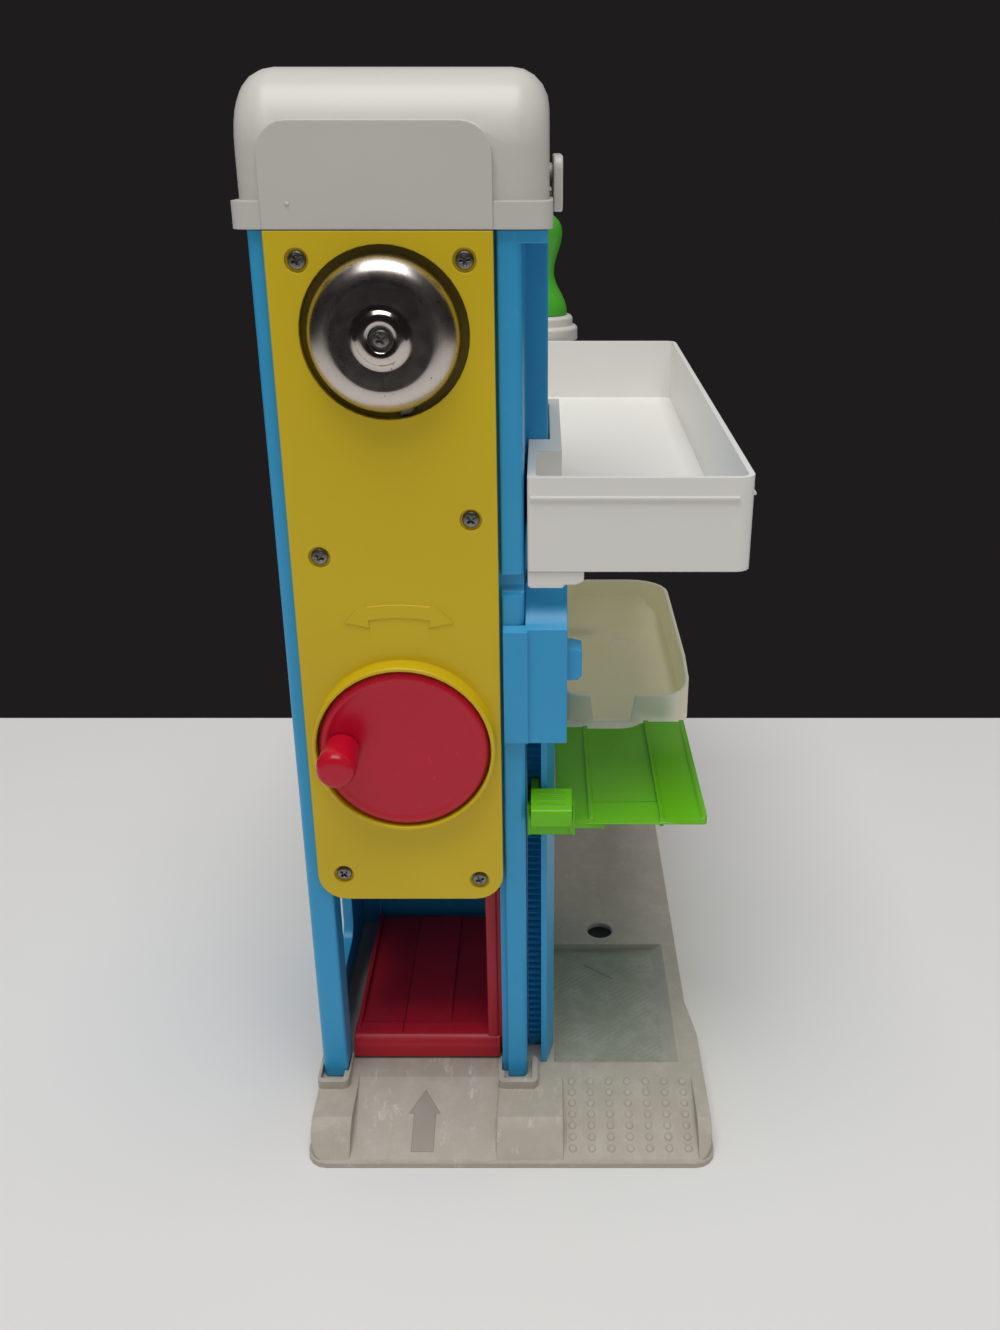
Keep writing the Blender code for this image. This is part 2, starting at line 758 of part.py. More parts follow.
def build_front_panel():
    outline = rounded(
        [(panel_left, panel_bottom), (panel_right, panel_bottom), (panel_right, panel_top), (panel_left, panel_top)],
        [panel_corner, panel_corner, 0, 0], 6,
    )
    panel = prism("front_panel", "Y", [outline], panel_front, panel_back, yellow_plastic)
    dish_back = recess_floor + 1.6 * mm
    dish = rod("bell_dish", "Y", bell_recess_radius + bell_recess_wall,
               (panel_middle, dish_back, bell_height_z), dish_back - panel_back + 1 * mm, steps=48)
    ring = turned(
        "crank_ring", "Y",
        [(ring_outer - 1 * mm, ring_height), (ring_outer - 0.4 * mm, ring_height - 0.6 * mm), (ring_outer, -1 * mm),
         (ring_inner, -1 * mm), (ring_inner, ring_height - 0.3 * mm), (ring_inner + 0.3 * mm, ring_height)],
        (panel_middle, panel_front, crank_z), steps=48, closed=True,
    )
    pivot_pin = rod("striker_pin", "Y", 2 * mm, (striker_pivot_x, striker_back + 0.8 * mm, striker_pivot_z),
                    striker_back + 0.8 * mm - panel_back + 1 * mm, steps=16)
    join(panel, dish, ring, pivot_pin)
    cut(
        panel,
        rod("bell_recess", "Y", bell_recess_radius, (panel_middle, recess_floor, bell_height_z),
            2 * bell_recess_depth, steps=48),
        box("striker_notch", (panel_middle - 0.5 * mm, panel_back + 0.05 * mm, bell_height_z - 1.2 * bell_recess_radius),
            (panel_middle + 2.5 * striker_width, recess_floor - 0.1 * mm, bell_height_z - 0.85 * bell_recess_radius)),
        rod("shaft_hole", "Y", shaft_radius + running_gap, (panel_middle, dish_back, crank_z),
            4 * panel_thickness, steps=32),
    )
    post_length = recess_floor + 0.8 * mm - bell_post_tip
    post_bore = screw_shank_radius + fit
    join(panel, turned(
        "bell_post", "Y",
        [(0, 3 * mm), (post_bore, 3 * mm), (post_bore, post_length), (bell_post_radius, post_length),
         (bell_post_radius, 0), (0, 0)],
        (panel_middle, recess_floor + 0.8 * mm, bell_height_z), steps=22,
    ))
    for side, x, heights in (("left", screw_left, left_screw_heights), ("right", screw_right, right_screw_heights)):
        for index, height in enumerate(heights):
            name = "%s_screw_seat_%d" % (side, index + 1)
            seat = rod(name, "Y", screw_recess_radius, (x, panel_front + screw_recess_depth, height),
                       2 * screw_recess_depth, steps=20)
            hole = rod(name + "_hole", "Y", screw_shank_radius + fit, (x, panel_back + panel_thickness, height),
                       3 * panel_thickness, steps=16)
            cut(panel, seat, hole)
    return panel


def screw_profile(length):
    head = screw_head_height
    return [
        (0, head), (screw_head_radius - 0.7 * mm, head), (screw_head_radius, head / 2), (screw_head_radius, 0),
        (screw_shank_radius, 0), (screw_shank_radius, -length), (0, -length),
    ]


def build_screws():
    seat = panel_front + screw_recess_depth - fit
    length = ear_depth
    number = 0
    for x, heights in ((screw_left, left_screw_heights), (screw_right, right_screw_heights)):
        for height in heights:
            number += 1
            turned("panel_screw_%d" % number, "Y", screw_profile(length), (x, seat, height), zinc_steel, 16)
    turned("bell_screw", "Y", screw_profile(bell_recess_depth), (panel_middle, bell_hub_front - fit, bell_height_z),
           zinc_steel, 16)


def build_bell():
    reach = bell_radius
    sheet = bell_sheet
    crown = bell_crown
    outside = [
        (4.4 * mm, crown - 0.6 * mm), (6 * mm, crown), (8.6 * mm, crown - 0.4 * mm), (9.5 * mm, crown - 1.4 * mm),
        (reach * 0.71, crown - 1.8 * mm), (reach * 0.86, crown - 3.5 * mm), (reach * 0.966, crown - 6.8 * mm),
        (reach, 3 * mm), (reach, 0),
    ]
    inside = [
        (reach - sheet, 0), (reach - sheet, 3 * mm), (reach * 0.966 - sheet, crown - 7.1 * mm),
        (reach * 0.86 - sheet, crown - 4.2 * mm), (reach * 0.71 - sheet / 2, crown - 2.7 * mm),
        (9 * mm, crown - 2.5 * mm), (screw_shank_radius + fit, crown - 3.1 * mm),
        (screw_shank_radius + fit, crown - 2 * mm), (3.9 * mm, crown - 2 * mm),
    ]
    return turned("bell", "Y", outside + inside, (panel_middle, bell_rim_y, bell_height_z), chrome, 40, True)


def build_crank():
    back = panel_front - crank_gap
    thickness = crank_thickness
    tail = drum_back + fit - back
    profile = [
        (0, thickness - 0.4 * mm), (crank_radius - 5 * mm, thickness - 0.4 * mm), (crank_radius - 3 * mm, thickness),
        (crank_radius - 1.6 * mm, thickness - 0.4 * mm), (crank_radius - 0.4 * mm, thickness - 1.6 * mm),
        (crank_radius, thickness - 3 * mm), (crank_radius, 0), (shaft_radius, 0), (shaft_radius, -tail), (0, -tail),
    ]
    axis = joint_empty("crank_axis", (panel_middle, back, crank_z))
    crank = turned("crank", "Y", profile, axis.location, red_plastic, 56)
    knob_x = panel_middle + knob_offset * math.cos(knob_angle)
    knob_z = crank_z + knob_offset * math.sin(knob_angle)
    face = back - thickness
    pin_depth = 3.8 * mm
    cut(crank, rod("knob_pin_seat", "Y", knob_pin_radius + fit, (knob_x, face + pin_depth + fit, knob_z),
                   2 * thickness, steps=16))
    carry(axis, crank)
    pin_length = knob_length - 3 * mm
    pin = rod("knob_pin", "Y", knob_pin_radius, (knob_x, face + pin_depth, knob_z), pin_length, zinc_steel, 16)
    carry(axis, pin)
    bore = knob_pin_radius + running_gap
    length = knob_length
    knob = turned(
        "crank_knob", "Y",
        [(0, length), (knob_radius * 0.55, length), (knob_radius * 0.86, length - 1.4 * mm),
         (knob_radius, length - 4 * mm), (knob_radius * 0.97, length * 0.5), (knob_radius * 0.9, 1 * mm),
         (knob_radius * 0.86, 0), (bore, 0), (bore, pin_length - pin_depth), (0, pin_length - pin_depth)],
        (knob_x, face - fit, knob_z), red_plastic, 28,
    )
    return crank, knob


def build_drum():
    width = drum_width
    sheet = 1 * mm
    bore = shaft_radius + fit
    drum = turned(
        "cord_drum", "Y",
        [(bore, width), (drum_flange, width), (drum_flange, width - sheet), (drum_radius, width - sheet),
         (drum_radius, sheet), (drum_flange, sheet), (drum_flange, 0), (bore, 0)],
        (panel_middle, drum_back, crank_z), nylon_plastic, 32, True,
    )
    for index in range(peg_count):
        angle = math.radians(40) + 2 * math.pi * index / peg_count
        place = (panel_middle + peg_circle * math.cos(angle), drum_front + sheet / 2, crank_z + peg_circle * math.sin(angle))
        join(drum, rod("drum_peg_%d" % (index + 1), "Y", peg_radius, place, 2 * mm + sheet / 2, steps=10))
    return drum


def cord_lean():
    # The angle at which the cord leaves the drum on its way to the pulley above.
    return math.atan((mast_x - panel_middle - cord_wrap) / (pulley_z - crank_z))


def build_cord():
    lean = cord_lean()
    start_x = panel_middle + cord_wrap * math.cos(lean)
    start_z = crank_z - cord_wrap * math.sin(lean)
    route = []
    count = 36
    for step in range(count):
        share = step / count
        route.append((start_x + (mast_x - start_x) * share, drum_middle + cord_lead * (1 - share),
                      start_z + (pulley_z - start_z) * share))
    for step in range(13):
        angle = math.pi * step / 12
        route.append((mast_x, pulley_y - pulley_wrap * math.cos(angle), pulley_z + pulley_wrap * math.sin(angle)))
    tube("cord_front", route, cord_radius, cord_fibre)

    drop = []
    drop_top = pulley_z - fit
    drop_bottom = mast_top + fit
    for step in range(12):
        drop.append((mast_x, cord_back, drop_top + (drop_bottom - drop_top) * step / 11))
    tube("cord_drop", drop, cord_radius, cord_fibre)

    # The wound turns lie beside the straight run, so they pass it as the drum goes round.
    turns = []
    pitch = 2 * cord_radius + fit
    steps = int(24 * cord_wound)
    first_y = drum_middle + cord_lead - pitch - 0.05 * mm
    for step in range(steps + 1):
        angle = -lean - 2 * math.pi * cord_wound * step / steps
        turns.append((panel_middle + cord_wrap * math.cos(angle), first_y - pitch * cord_wound * step / steps,
                      crank_z + cord_wrap * math.sin(angle)))
    tube("cord_turns", turns, cord_radius, cord_fibre)


def build_pulley():
    half = pulley_width / 2
    bore = axle_radius + running_gap
    groove = cord_radius + fit
    profile = [
        (bore, half), (pulley_flange, half), (pulley_flange, half - 0.8 * mm), (pulley_radius, groove),
        (pulley_radius, -groove), (pulley_flange, -half + 0.8 * mm), (pulley_flange, -half), (bore, -half),
    ]
    turned("top_pulley", "X", profile, (mast_x, pulley_y, pulley_z), nylon_plastic, 28, True)
    head = 1 * mm
    reach = right_inner + column_width / 2 - fit - (mast_x - half - running_gap - head)
    turned(
        "pulley_axle", "X",
        [(0, reach), (axle_radius, reach), (axle_radius, head), (2 * axle_radius, head), (2 * axle_radius, 0), (0, 0)],
        (mast_x - half - running_gap - head, pulley_y, pulley_z), zinc_steel, 16,
    )


def build_striker():
    # A straight bar from just above the drum's pegs, past its pivot, to the hammer inside the bell.
    lean = math.atan2(striker_lean, striker_tip_z - striker_pivot_z)
    foot_z = crank_z + peg_circle + peg_radius + 2 * running_gap
    below = (striker_pivot_z - foot_z) / math.cos(lean)
    above = (striker_tip_z - striker_pivot_z) / math.cos(lean)
    half = striker_width / 2
    bar = rectangle(-half, half, -below + half, above + 1.6 * mm, half * 0.6, 3)
    turn = Matrix.Rotation(-lean, 2)
    centre = Vector((striker_pivot_x, striker_pivot_z))
    bar = [centre + turn @ corner for corner in bar]
    striker = prism("striker", "Y", [bar], striker_front, striker_back, zinc_steel)
    eye = rod("striker_eye", "Y", 5 * mm, (striker_pivot_x, striker_back - 0.1 * mm, striker_pivot_z),
              striker_thickness - 0.2 * mm, steps=20)
    hammer_x = striker_pivot_x + striker_lean
    hammer = rod("striker_hammer", "Y", 2 * mm, (hammer_x, striker_back - fit, striker_tip_z), 6 * mm, steps=16)
    join(striker, eye, hammer)
    cut(striker, rod("striker_bore", "Y", 2 * mm + running_gap,
                     (striker_pivot_x, striker_back + 1 * mm, striker_pivot_z), 4 * mm, steps=16))
    pivot(striker, (striker_pivot_x, striker_front, striker_pivot_z))
    return striker


def build_elevator():
    top = lift_floor_z
    sheet = lift_sheet
    inset = 0.5 * mm
    lip_top = top + 1.8 * mm
    profile = rounded(
        [(lift_front, lift_bottom), (lift_back, lift_bottom), (lift_back, top), (lift_front + 14 * mm, top),
         (lift_front + 11.5 * mm, lip_top), (lift_front, lip_top)],
        [0, 0, 0, 0, 1 * mm, 5 * mm],
    )
    elevator = prism("elevator", "X", [profile], lift_left, lift_right, dark_red_plastic)
    cut(elevator, box("lift_hollow", (lift_left + sheet, lift_front + sheet, lift_bottom - sheet),
                      (lift_right - sheet, lift_back - sheet, top - sheet)))
    mast = rectangle(lift_right - mast_width - inset, lift_right - inset, mast_front, mast_front + mast_depth,
                     1 * mm, 2)
    tongue_front = guide_front + 2 * running_gap
    width = lift_right - lift_left
    join(
        elevator,
        box("lift_left_rail", (lift_left + inset, lift_front + 6 * mm, top - 1 * mm),
            (lift_left + sheet, lift_back - 1 * mm, top + 3 * mm)),
        box("lift_right_rail", (lift_right - 2 * sheet, lift_front + 6 * mm, top - 1 * mm),
            (lift_right - 2 * inset, lift_back - 1 * mm, top + 14 * mm)),
        box("lift_middle_plank", (lift_left + width * 0.33, lift_front + 10 * mm, top - 1 * mm),
            (lift_left + width * 0.65, lift_back - 1 * mm, top + 1 * mm)),
        prism("lift_mast", "Z", [mast], lift_bottom + 1 * mm, mast_top),
        box("lift_tongue", (lift_right - 2 * mm, tongue_front, lift_bottom + 3 * mm),
            (tower_right - side_wall - 2 * running_gap, guide_back - 2 * running_gap, mast_top - 2 * mm)),
    )
    pivot(elevator, (mast_x, cord_back, top))
    return elevator


def build_roof():
    left = roof_left + lip_side_step
    right = roof_right - lip_side_step
    profile = rounded(
        [(roof_front, roof_bottom), (roof_back, roof_bottom), (roof_back, roof_top), (roof_front, roof_top)],
        [0, 0, roof_round, roof_round], 6,
    )
    roof = prism("roof", "X", [profile], left, right, white_plastic)
    form = bmesh.new()
    form.from_mesh(roof.data)
    bmesh.ops.dissolve_limit(form, angle_limit=0.001, verts=form.verts, edges=form.edges)
    low = min(spot.co.z for spot in form.verts)
    reach = max(spot.co.x for spot in form.verts)
    ends = []
    for edge in form.edges:
        first, second = edge.verts
        at_end = abs(abs(first.co.x) - reach) < 1e-6 and abs(first.co.x - second.co.x) < 1e-6
        at_bottom = first.co.z < low + 1e-6 and second.co.z < low + 1e-6
        if at_end and not at_bottom:
            ends.append(edge)
    bmesh.ops.bevel(form, geom=ends, offset=roof_end_round, segments=5, profile=0.5, affect="EDGES")
    floor = [face for face in form.faces if all(spot.co.z < low + 1e-6 for spot in face.verts)]
    bmesh.ops.delete(form, geom=floor, context="FACES_ONLY")
    bmesh.ops.recalc_face_normals(form, faces=form.faces)
    form.to_mesh(roof.data)
    form.free()
    shell = roof.modifiers.new("shell", "SOLIDIFY")
    shell.thickness = roof_wall
    shell.offset = -1
    outer = rectangle(roof_left, roof_right, roof_front - lip_step, roof_back + lip_step, 6 * mm)
    inner = rectangle(left + 1 * mm, right - 1 * mm, roof_front + 1 * mm, roof_back - 1 * mm, 12 * mm)
    face = rounded(
        [(panel_left, roof_bottom + 0.1 * mm), (panel_right, roof_bottom + 0.1 * mm),
         (panel_right, roof_bottom + roof_face_height), (panel_left, roof_bottom + roof_face_height)],
        [0, 0, 11 * mm, 11 * mm], 6,
    )
    pad_y = tower_front + sign_start
    pads = [
        rod("sign_pad_%d" % (index + 1), "X", 3 * mm,
            (right - 1 * mm, pad_y + sign_length * share, roof_bottom + 17 * mm),
            roof_right - right + 1 * mm, steps=16)
        for index, share in enumerate((0.2, 0.8))
    ]
    join(
        roof,
        prism("roof_lip", "Z", [outer, inner], roof_bottom + 0.05 * mm, roof_bottom + lip_height),
        prism("roof_face", "Y", [face], panel_front, roof_front + 2 * mm),
        *pads,
    )
    return roof


def build_roof_sign():
    front = tower_front + sign_start
    low = roof_bottom + 3.9 * mm
    outline = rounded(
        [(front, low), (front + sign_length, low), (front + sign_length, low + sign_height),
         (front, low + sign_height)], [5 * mm] * 4,
    )
    return prism("roof_sign", "X", [outline], roof_right + fit, roof_right + fit + sign_thickness, white_plastic)


def build_upper_deck():
    pad_end = shoulder_y - running_gap
    beside = shoulder_right + 2 * running_gap
    behind = tower_back + 2 * running_gap
    landing = lift_back + 7 * running_gap
    landing_left = left_inner + 2 * running_gap
    landing_right = shoulder_right - column_width - 2 * running_gap
    outline = rounded(
        [
            (deck_near_left, tower_front), (deck_right, tower_front), (deck_far_right, deck_far), (deck_left, deck_far),
            (deck_left, behind), (landing_left, behind), (landing_left, landing), (landing_right, landing),
            (landing_right, behind), (beside, behind), (beside, pad_end), (deck_near_left, pad_end),
        ],
        [1 * mm, deck_corner, deck_corner, deck_corner] + [0] * 8,
    )
    deck = prism("upper_deck", "Z", [outline], deck_bottom, deck_rim, white_plastic)
    wall = deck_wall
    pad_start = tower_front + deck_pad_start
    strip_right = beside + deck_strip
    inside = rounded(
        [
            (deck_near_left + deck_left_wall, tower_front + wall), (deck_right - wall, tower_front + wall),
            (deck_far_right - wall, deck_far - wall), (deck_left + wall, deck_far - wall),
            (deck_left + wall, landing - wall), (beside - 0.5 * mm, landing - wall),
            (beside - 0.5 * mm, tower_back + deck_strip_end), (strip_right, tower_back + deck_strip_end),
            (strip_right, pad_start), (deck_near_left + deck_left_wall, pad_start),
        ],
        [2 * mm, deck_corner - wall, deck_corner - wall, deck_corner - wall] + [0] * 6,
    )
    cut(
        deck,
        prism("deck_inside", "Z", [inside], deck_floor, deck_rim + wall),
        box("deck_pad_hollow", (deck_near_left + wall, pad_start + wall, deck_bottom - wall),
            (strip_right - wall, pad_end - wall, deck_rim - wall)),
    )
    bead_top = deck_bead_z + deck_bead
    half = wall / 2
    join(
        deck,
        box("near_bead", (deck_near_left + 1 * mm, tower_front - deck_bead, deck_bead_z),
            (deck_right - deck_corner, tower_front + half, bead_top)),
        prism("right_bead", "Z", [[
            (deck_right - half, tower_front + deck_corner), (deck_right + deck_bead, tower_front + deck_corner),
            (deck_far_right + deck_bead, deck_far - deck_corner), (deck_far_right - half, deck_far - deck_corner),
        ]], deck_bead_z, bead_top),
    )
    return deck


def build_deck_bracket():
    top = deck_bottom - fit
    left = deck_near_left
    right = left + bracket_width
    outline = rounded(
        [(left, bracket_bottom), (left + bracket_width * 0.62, bracket_bottom),
         (left + bracket_width * 0.66, bracket_bottom + 1.4 * mm),
         (left + bracket_width * 0.86, bracket_bottom + 1.4 * mm), (right, bracket_bottom + 3 * mm),
         (right, top), (left, top)],
        [1.5 * mm, 0, 0, 0, 0, 0, 0],
    )
    return prism("deck_bracket", "Y", [outline], tower_front + 1 * mm, tower_front + housing_depth - 8 * mm,
                 white_plastic)


def rack_outline():
    # A saw-toothed strip: each tooth rises gently and drops back square, so a pawl catches from above.
    low = floor_z + 5 * mm
    count = int((rail_top - 3 * mm - low) / rack_pitch)
    outline = [(rack_root + 1 * mm, low)]
    for index in range(count):
        foot = low + index * rack_pitch
        outline.append((rack_root, foot))
        outline.append((rack_tip, foot + rack_pitch * 0.55))
        outline.append((rack_tip, foot + rack_pitch * 0.8))
    outline.append((rack_root, low + count * rack_pitch))
    outline.append((rack_root + 1 * mm, low + count * rack_pitch))
    return outline


def build_lift_rail():
    outline = [
        (rail_left, rack_root), (flange_left, rack_root), (flange_left, rail_front),
        (flange_left + rail_flange, rail_front), (rail_right, rail_front + 0.8 * rail_depth),
        (rail_right, rail_back), (rail_left, rail_back),
    ]
    rail = prism("lift_rail", "Z", [outline], floor_z, rail_top, blue_plastic)
    join(rail, prism("rack_teeth", "X", [rack_outline()], rail_left + 0.2 * mm, flange_left + 0.4 * mm))
    return rail


def build_rail_housing():
    left = housing_left
    low = housing_bottom
    top = housing_top
    front = housing_front
    back = front + housing_depth
    profile = [(front, low), (back, low), (back, top), (front + 1.2 * mm, top), (front, top - 1.2 * mm)]
    housing = prism("rail_housing", "X", [profile], left, housing_right, blue_plastic)
    plate_front = panel_back - housing_plate_depth
    plate_top = low + housing_plate_height
    plate = rounded(
        [(plate_front, low + 0.1 * mm), (panel_back, low + 0.1 * mm), (panel_back, plate_top), (plate_front, plate_top)],
        [1 * mm, 0, 0, 2.5 * mm],
    )
    lug_y = front + 3 * mm
    lug_low = low + lug_start
    lug = rounded(
        [(left + 1 * mm, lug_low), (housing_right + 4.4 * mm, lug_low), (housing_right + lug_length, lug_low + 2 * mm),
         (housing_right + lug_length, lug_low + lug_height), (housing_right + 2 * mm, lug_low + lug_height + 1 * mm),
         (left + 1 * mm, lug_low + lug_height + 1 * mm)], [0, 0, 0, 0.8 * mm, 0, 0], 2,
    )
    join(
        housing,
        prism("housing_plate", "X", [plate], tower_right - housing_plate_width, left + 1 * mm),
        prism("housing_lug", "Y", [lug], lug_y, lug_y + lug_depth),
    )
    scoop = housing_height - housing_plate_height + 4 * mm
    cut(housing, rod("housing_scoop", "X", scoop, (left - housing_plate_width - 3 * mm, front - scoop * 0.4, top + 1 * mm),
                     2 * housing_plate_width + 2 * housing_width, steps=32))
    return housing


def landing_outline(gap):
    # The tray's lip under its notch; with a gap it is also the clearance cut from the platform's far edge.
    left = tray_left + landing_left - 10 * gap
    right = tray_left + landing_right + gap
    near = tray_front - landing_reach - gap
    far = tray_front + 2 * tray_wall
    return rounded([(left, near), (right, near), (right, far), (left, far)], [gap + 0.5 * mm, landing_corner + gap, 0, 0], 6)


def build_lift_platform():
    left = platform_left
    right = platform_right
    front = platform_front
    back = platform_back
    top = platform_z
    low = top - platform_sheet
    outline = rectangle(left, right, front, back, 1.5 * mm, 2)
    platform = prism("lift_platform", "Z", [outline], low, top, green_plastic)
    track_right = track_left + track_width
    strips = []
    for name, start, height in (("left_ridge", track_left - ridge_width, ridge_height),
                                ("right_ridge", track_right, ridge_height),
                                ("outer_rim", platform_width - ridge_width, ridge_height + 0.6 * mm)):
        strips.append(box(name, (left + start, front + 0.2 * mm, low + 0.4 * mm),
                          (left + start + ridge_width - 0.05 * mm, back - 0.1 * mm, top + height)))
    under = []
    for name, start in (("left_under_rib", track_left - ridge_width), ("right_under_rib", track_right)):
        under.append(box(name, (left + start + 0.3 * mm, front + 3 * mm, low - 2.6 * mm),
                         (left + start + ridge_width - 0.4 * mm, back - 3 * mm, low + 0.5 * mm)))
    inner = rail_left + fit
    bar = box("carriage_bar", (inner, front - fit - carriage_depth - running_gap, carriage_bottom),
              (release_right + fit, front - fit - running_gap, carriage_top))
    bridge = box("carriage_bridge", (left + 0.2 * mm, front - carriage_depth / 2, carriage_bottom + 0.1 * mm),
                 (release_right + fit - 0.1 * mm, front + 2 * mm, top - 0.1 * mm))
    tongue = box("carriage_tongue", (inner + running_gap, front - carriage_depth / 2 - fit, carriage_bottom + 0.2 * mm),
                 (flange_left - running_gap, rack_tip - 2 * mm, carriage_top - 0.2 * mm))
    ears = []
    for name, start in (("left_pin_ear", inner), ("right_pin_ear", release_right + running_gap)):
        ears.append(box(name, (start + 0.03 * mm, release_pivot_y - 2.6 * mm, carriage_bottom + 0.3 * mm),
                        (start + ear_sheet - 0.33 * mm, release_pivot_y + 2.2 * mm, release_pivot_z + 2.6 * mm)))
    ears.append(box("right_ear_foot", (release_right - 1 * mm, release_pivot_y - 2.4 * mm, carriage_bottom + 0.4 * mm),
                    (release_right + running_gap + 1 * mm, release_pivot_y + 2 * mm, carriage_top - 0.4 * mm)))
    edge = box("near_edge", (left + 4 * mm, front + 0.1 * mm, low - near_lip),
               (left + track_left + 2 * ridge_width, front + 2.2 * mm, low + 0.6 * mm))
    join(platform, edge, *strips, *under, bar, bridge, tongue, *ears)
    slope = [(front - 1 * mm, top - 1.7 * mm), (front + track_slope, top - 0.2 * mm),
             (front + track_slope, top + 3 * mm), (front - 1 * mm, top + 3 * mm)]
    sunk = box("track", (left + track_left, front + track_slope + 0.7 * mm, top - 0.9 * mm),
               (left + track_right, back + 1 * mm, top + 1 * mm))
    slope_cut = prism("near_slope", "X", [slope], left + track_left + 0.01 * mm, left + track_right - 0.01 * mm)
    pin_hole = rod("ear_pin_hole", "X", release_pin_radius + fit, (rail_left, release_pivot_y, release_pivot_z),
                   release_width + 4 * ear_sheet, steps=16)
    landing = prism("landing_clearance", "Z", [landing_outline(3 * running_gap)], low - 8 * mm, top + 8 * mm)
    cut(platform, sunk, slope_cut, pin_hole, landing)
    pivot(platform, (flange_left, rail_front, top))
    return platform


def build_lift_release():
    low = release_bottom
    top = low + release_height
    profile = rounded(
        [(release_near, low), (release_rear, low), (release_rear, top + release_slope), (release_near, top)],
        [1 * mm, 0, 1 * mm, 1.6 * mm], 3,
    )
    release = prism("lift_release", "X", [profile], release_left, release_right, green_plastic)
    slot_left = rail_left + ear_sheet + running_gap + 0.1 * mm
    slot_right = flange_left - 2 * running_gap
    arm = [
        (release_rear - 1 * mm, low + 3.4 * mm), (rack_tip - 5 * mm, low + 3.4 * mm), (rack_tip - 3.4 * mm, low + 7 * mm),
        (rack_tip - running_gap, low + 10.2 * mm), (rack_tip - running_gap, low + 11.2 * mm),
        (rack_tip - 4 * mm, low + 11.2 * mm), (release_rear - 1 * mm, low + 7.4 * mm),
    ]
    ribs = []
    for index in range(3):
        y = release_near + (index + 1.2) * 3 * mm
        z = top + release_slope * (y - release_near) / (release_rear - release_near)
        ribs.append(box("grip_%d" % (index + 1), (release_left + 3 * mm, y - 0.4 * mm, z - 1 * mm),
                        (release_right - 3 * mm, y + 0.4 * mm, z + 0.5 * mm)))
    join(release, prism("pawl", "X", [arm], slot_left, slot_right), *ribs)
    pin_length = release_right + running_gap + ear_sheet - rail_left - fit
    cut(release, rod("release_bore", "X", release_pin_radius + fit, (rail_left, release_pivot_y, release_pivot_z),
                     pin_length + 2 * ear_sheet, steps=16))
    pivot(release, (release_left, release_pivot_y, release_pivot_z))
    rod("release_pin", "X", release_pin_radius, (rail_left + fit, release_pivot_y, release_pivot_z),
        pin_length - fit, zinc_steel, 12)
    return release


def tray_form(name, inset, top, near_top, surface=None):
    # The tray's plan, cut to its side profile: a round rise at the far wall and a rim that falls to the near wall.
    outline = rounded(
        [
            (tray_left + inset, tray_front + inset), (tray_right - inset, tray_front + inset),
            (tray_right - inset, tray_back - inset), (tray_left + inset, tray_back - inset),
        ],
        [tray_corner - inset, tray_corner - inset, tray_far_corner - inset, tray_far_corner - inset], 6,
    )
    low = tray_bottom + inset
    beyond = 1 * mm
    profile = rounded(
        [
            (tray_front - beyond, low), (tray_back - inset + beyond, low), (tray_back - inset + beyond, top),
            (tray_front + tray_slope, top), (tray_front - beyond, near_top),
        ],
        [0, tray_fillet - inset, 0, 0, 0], 7,
    )
    form = prism(name, "Z", [outline], low - beyond, top + beyond, surface)
    side = prism(name + "_side", "X", [profile], tray_left - beyond, tray_right + beyond)
    shape_with(form, side, "INTERSECT")
    return form


def build_mid_tray():
    wall = tray_wall
    top = tray_bottom + tray_height
    tray = tray_form("mid_tray", 0, top, tray_bottom + tray_near_height, beige_plastic)
    left = tray_left + notch_left
    right = tray_left + notch_right
    notch_bottom = tray_bottom + wall + 1.4 * mm
    notch = [(left, notch_bottom), (right, notch_bottom), (right + notch_flare, top), (left - notch_flare, top)]
    landing = prism("tray_landing", "Z", [landing_outline(0)], tray_bottom + fit, tray_bottom + fit + landing_sheet)
    join(tray, landing)
    cut(
        tray,
        tray_form("tray_inside", wall, top + 3 * wall, top + 3 * wall),
        prism("tray_notch", "Y", [notch], tray_front - wall, tray_front + 3 * wall),
        rod("tray_dimple", "Z", tray_dimple_radius,
            (tray_left + 0.59 * tray_width, tray_front + 0.7 * tray_length, tray_bottom + wall - tray_dimple_depth), wall),
    )
    return tray


def build_rear_column():
    radius = column_radius
    height = column_top - floor_z
    column = turned(
        "rear_column", "Z",
        [(0, height), (radius - 1.5 * mm, height), (radius - 1.5 * mm, column_taper), (radius, 0), (0, 0)],
        (column_x, column_y, floor_z), blue_plastic, 32,
    )
    arm = 6 * mm
    deck_arm = box("deck_arm", (column_x - arm, deck_far - 16 * mm, deck_bottom - fit - 8 * mm),
                   (column_x + arm, column_y, deck_bottom - fit))
    rest_far = tray_back - tray_fillet
    rest_near = rest_far - 10 * mm
    arm_top = tray_bottom - fit
    arm_low = arm_top - 7.5 * mm
    tray_arm = box("tray_arm", (tray_left - arm, rest_near, arm_low), (tray_left + arm, column_y, arm_top))
    tray_rest = box("tray_rest", (tray_left - arm + 0.4 * mm, rest_near + 0.4 * mm, arm_low + 0.4 * mm),
                    (tray_left + 4 * arm, rest_far, arm_top - 0.02 * mm))
    join(column, deck_arm, tray_arm, tray_rest)
    return column


def build_post_cap():
    low = column_top + fit
    full = cap_height + cap_step_height
    bore = 4 * mm + running_gap
    return turned(
        "post_cap", "Z",
        [(bore, full), (cap_step_radius - 1.5 * mm, full), (cap_step_radius, full - 1.5 * mm),
         (cap_step_radius, cap_height), (cap_radius - 1.5 * mm, cap_height), (cap_radius, cap_height - 1.5 * mm),
         (cap_radius, 0), (bore, 0)],
        (column_x, column_y, low), white_plastic, 36, True,
    )


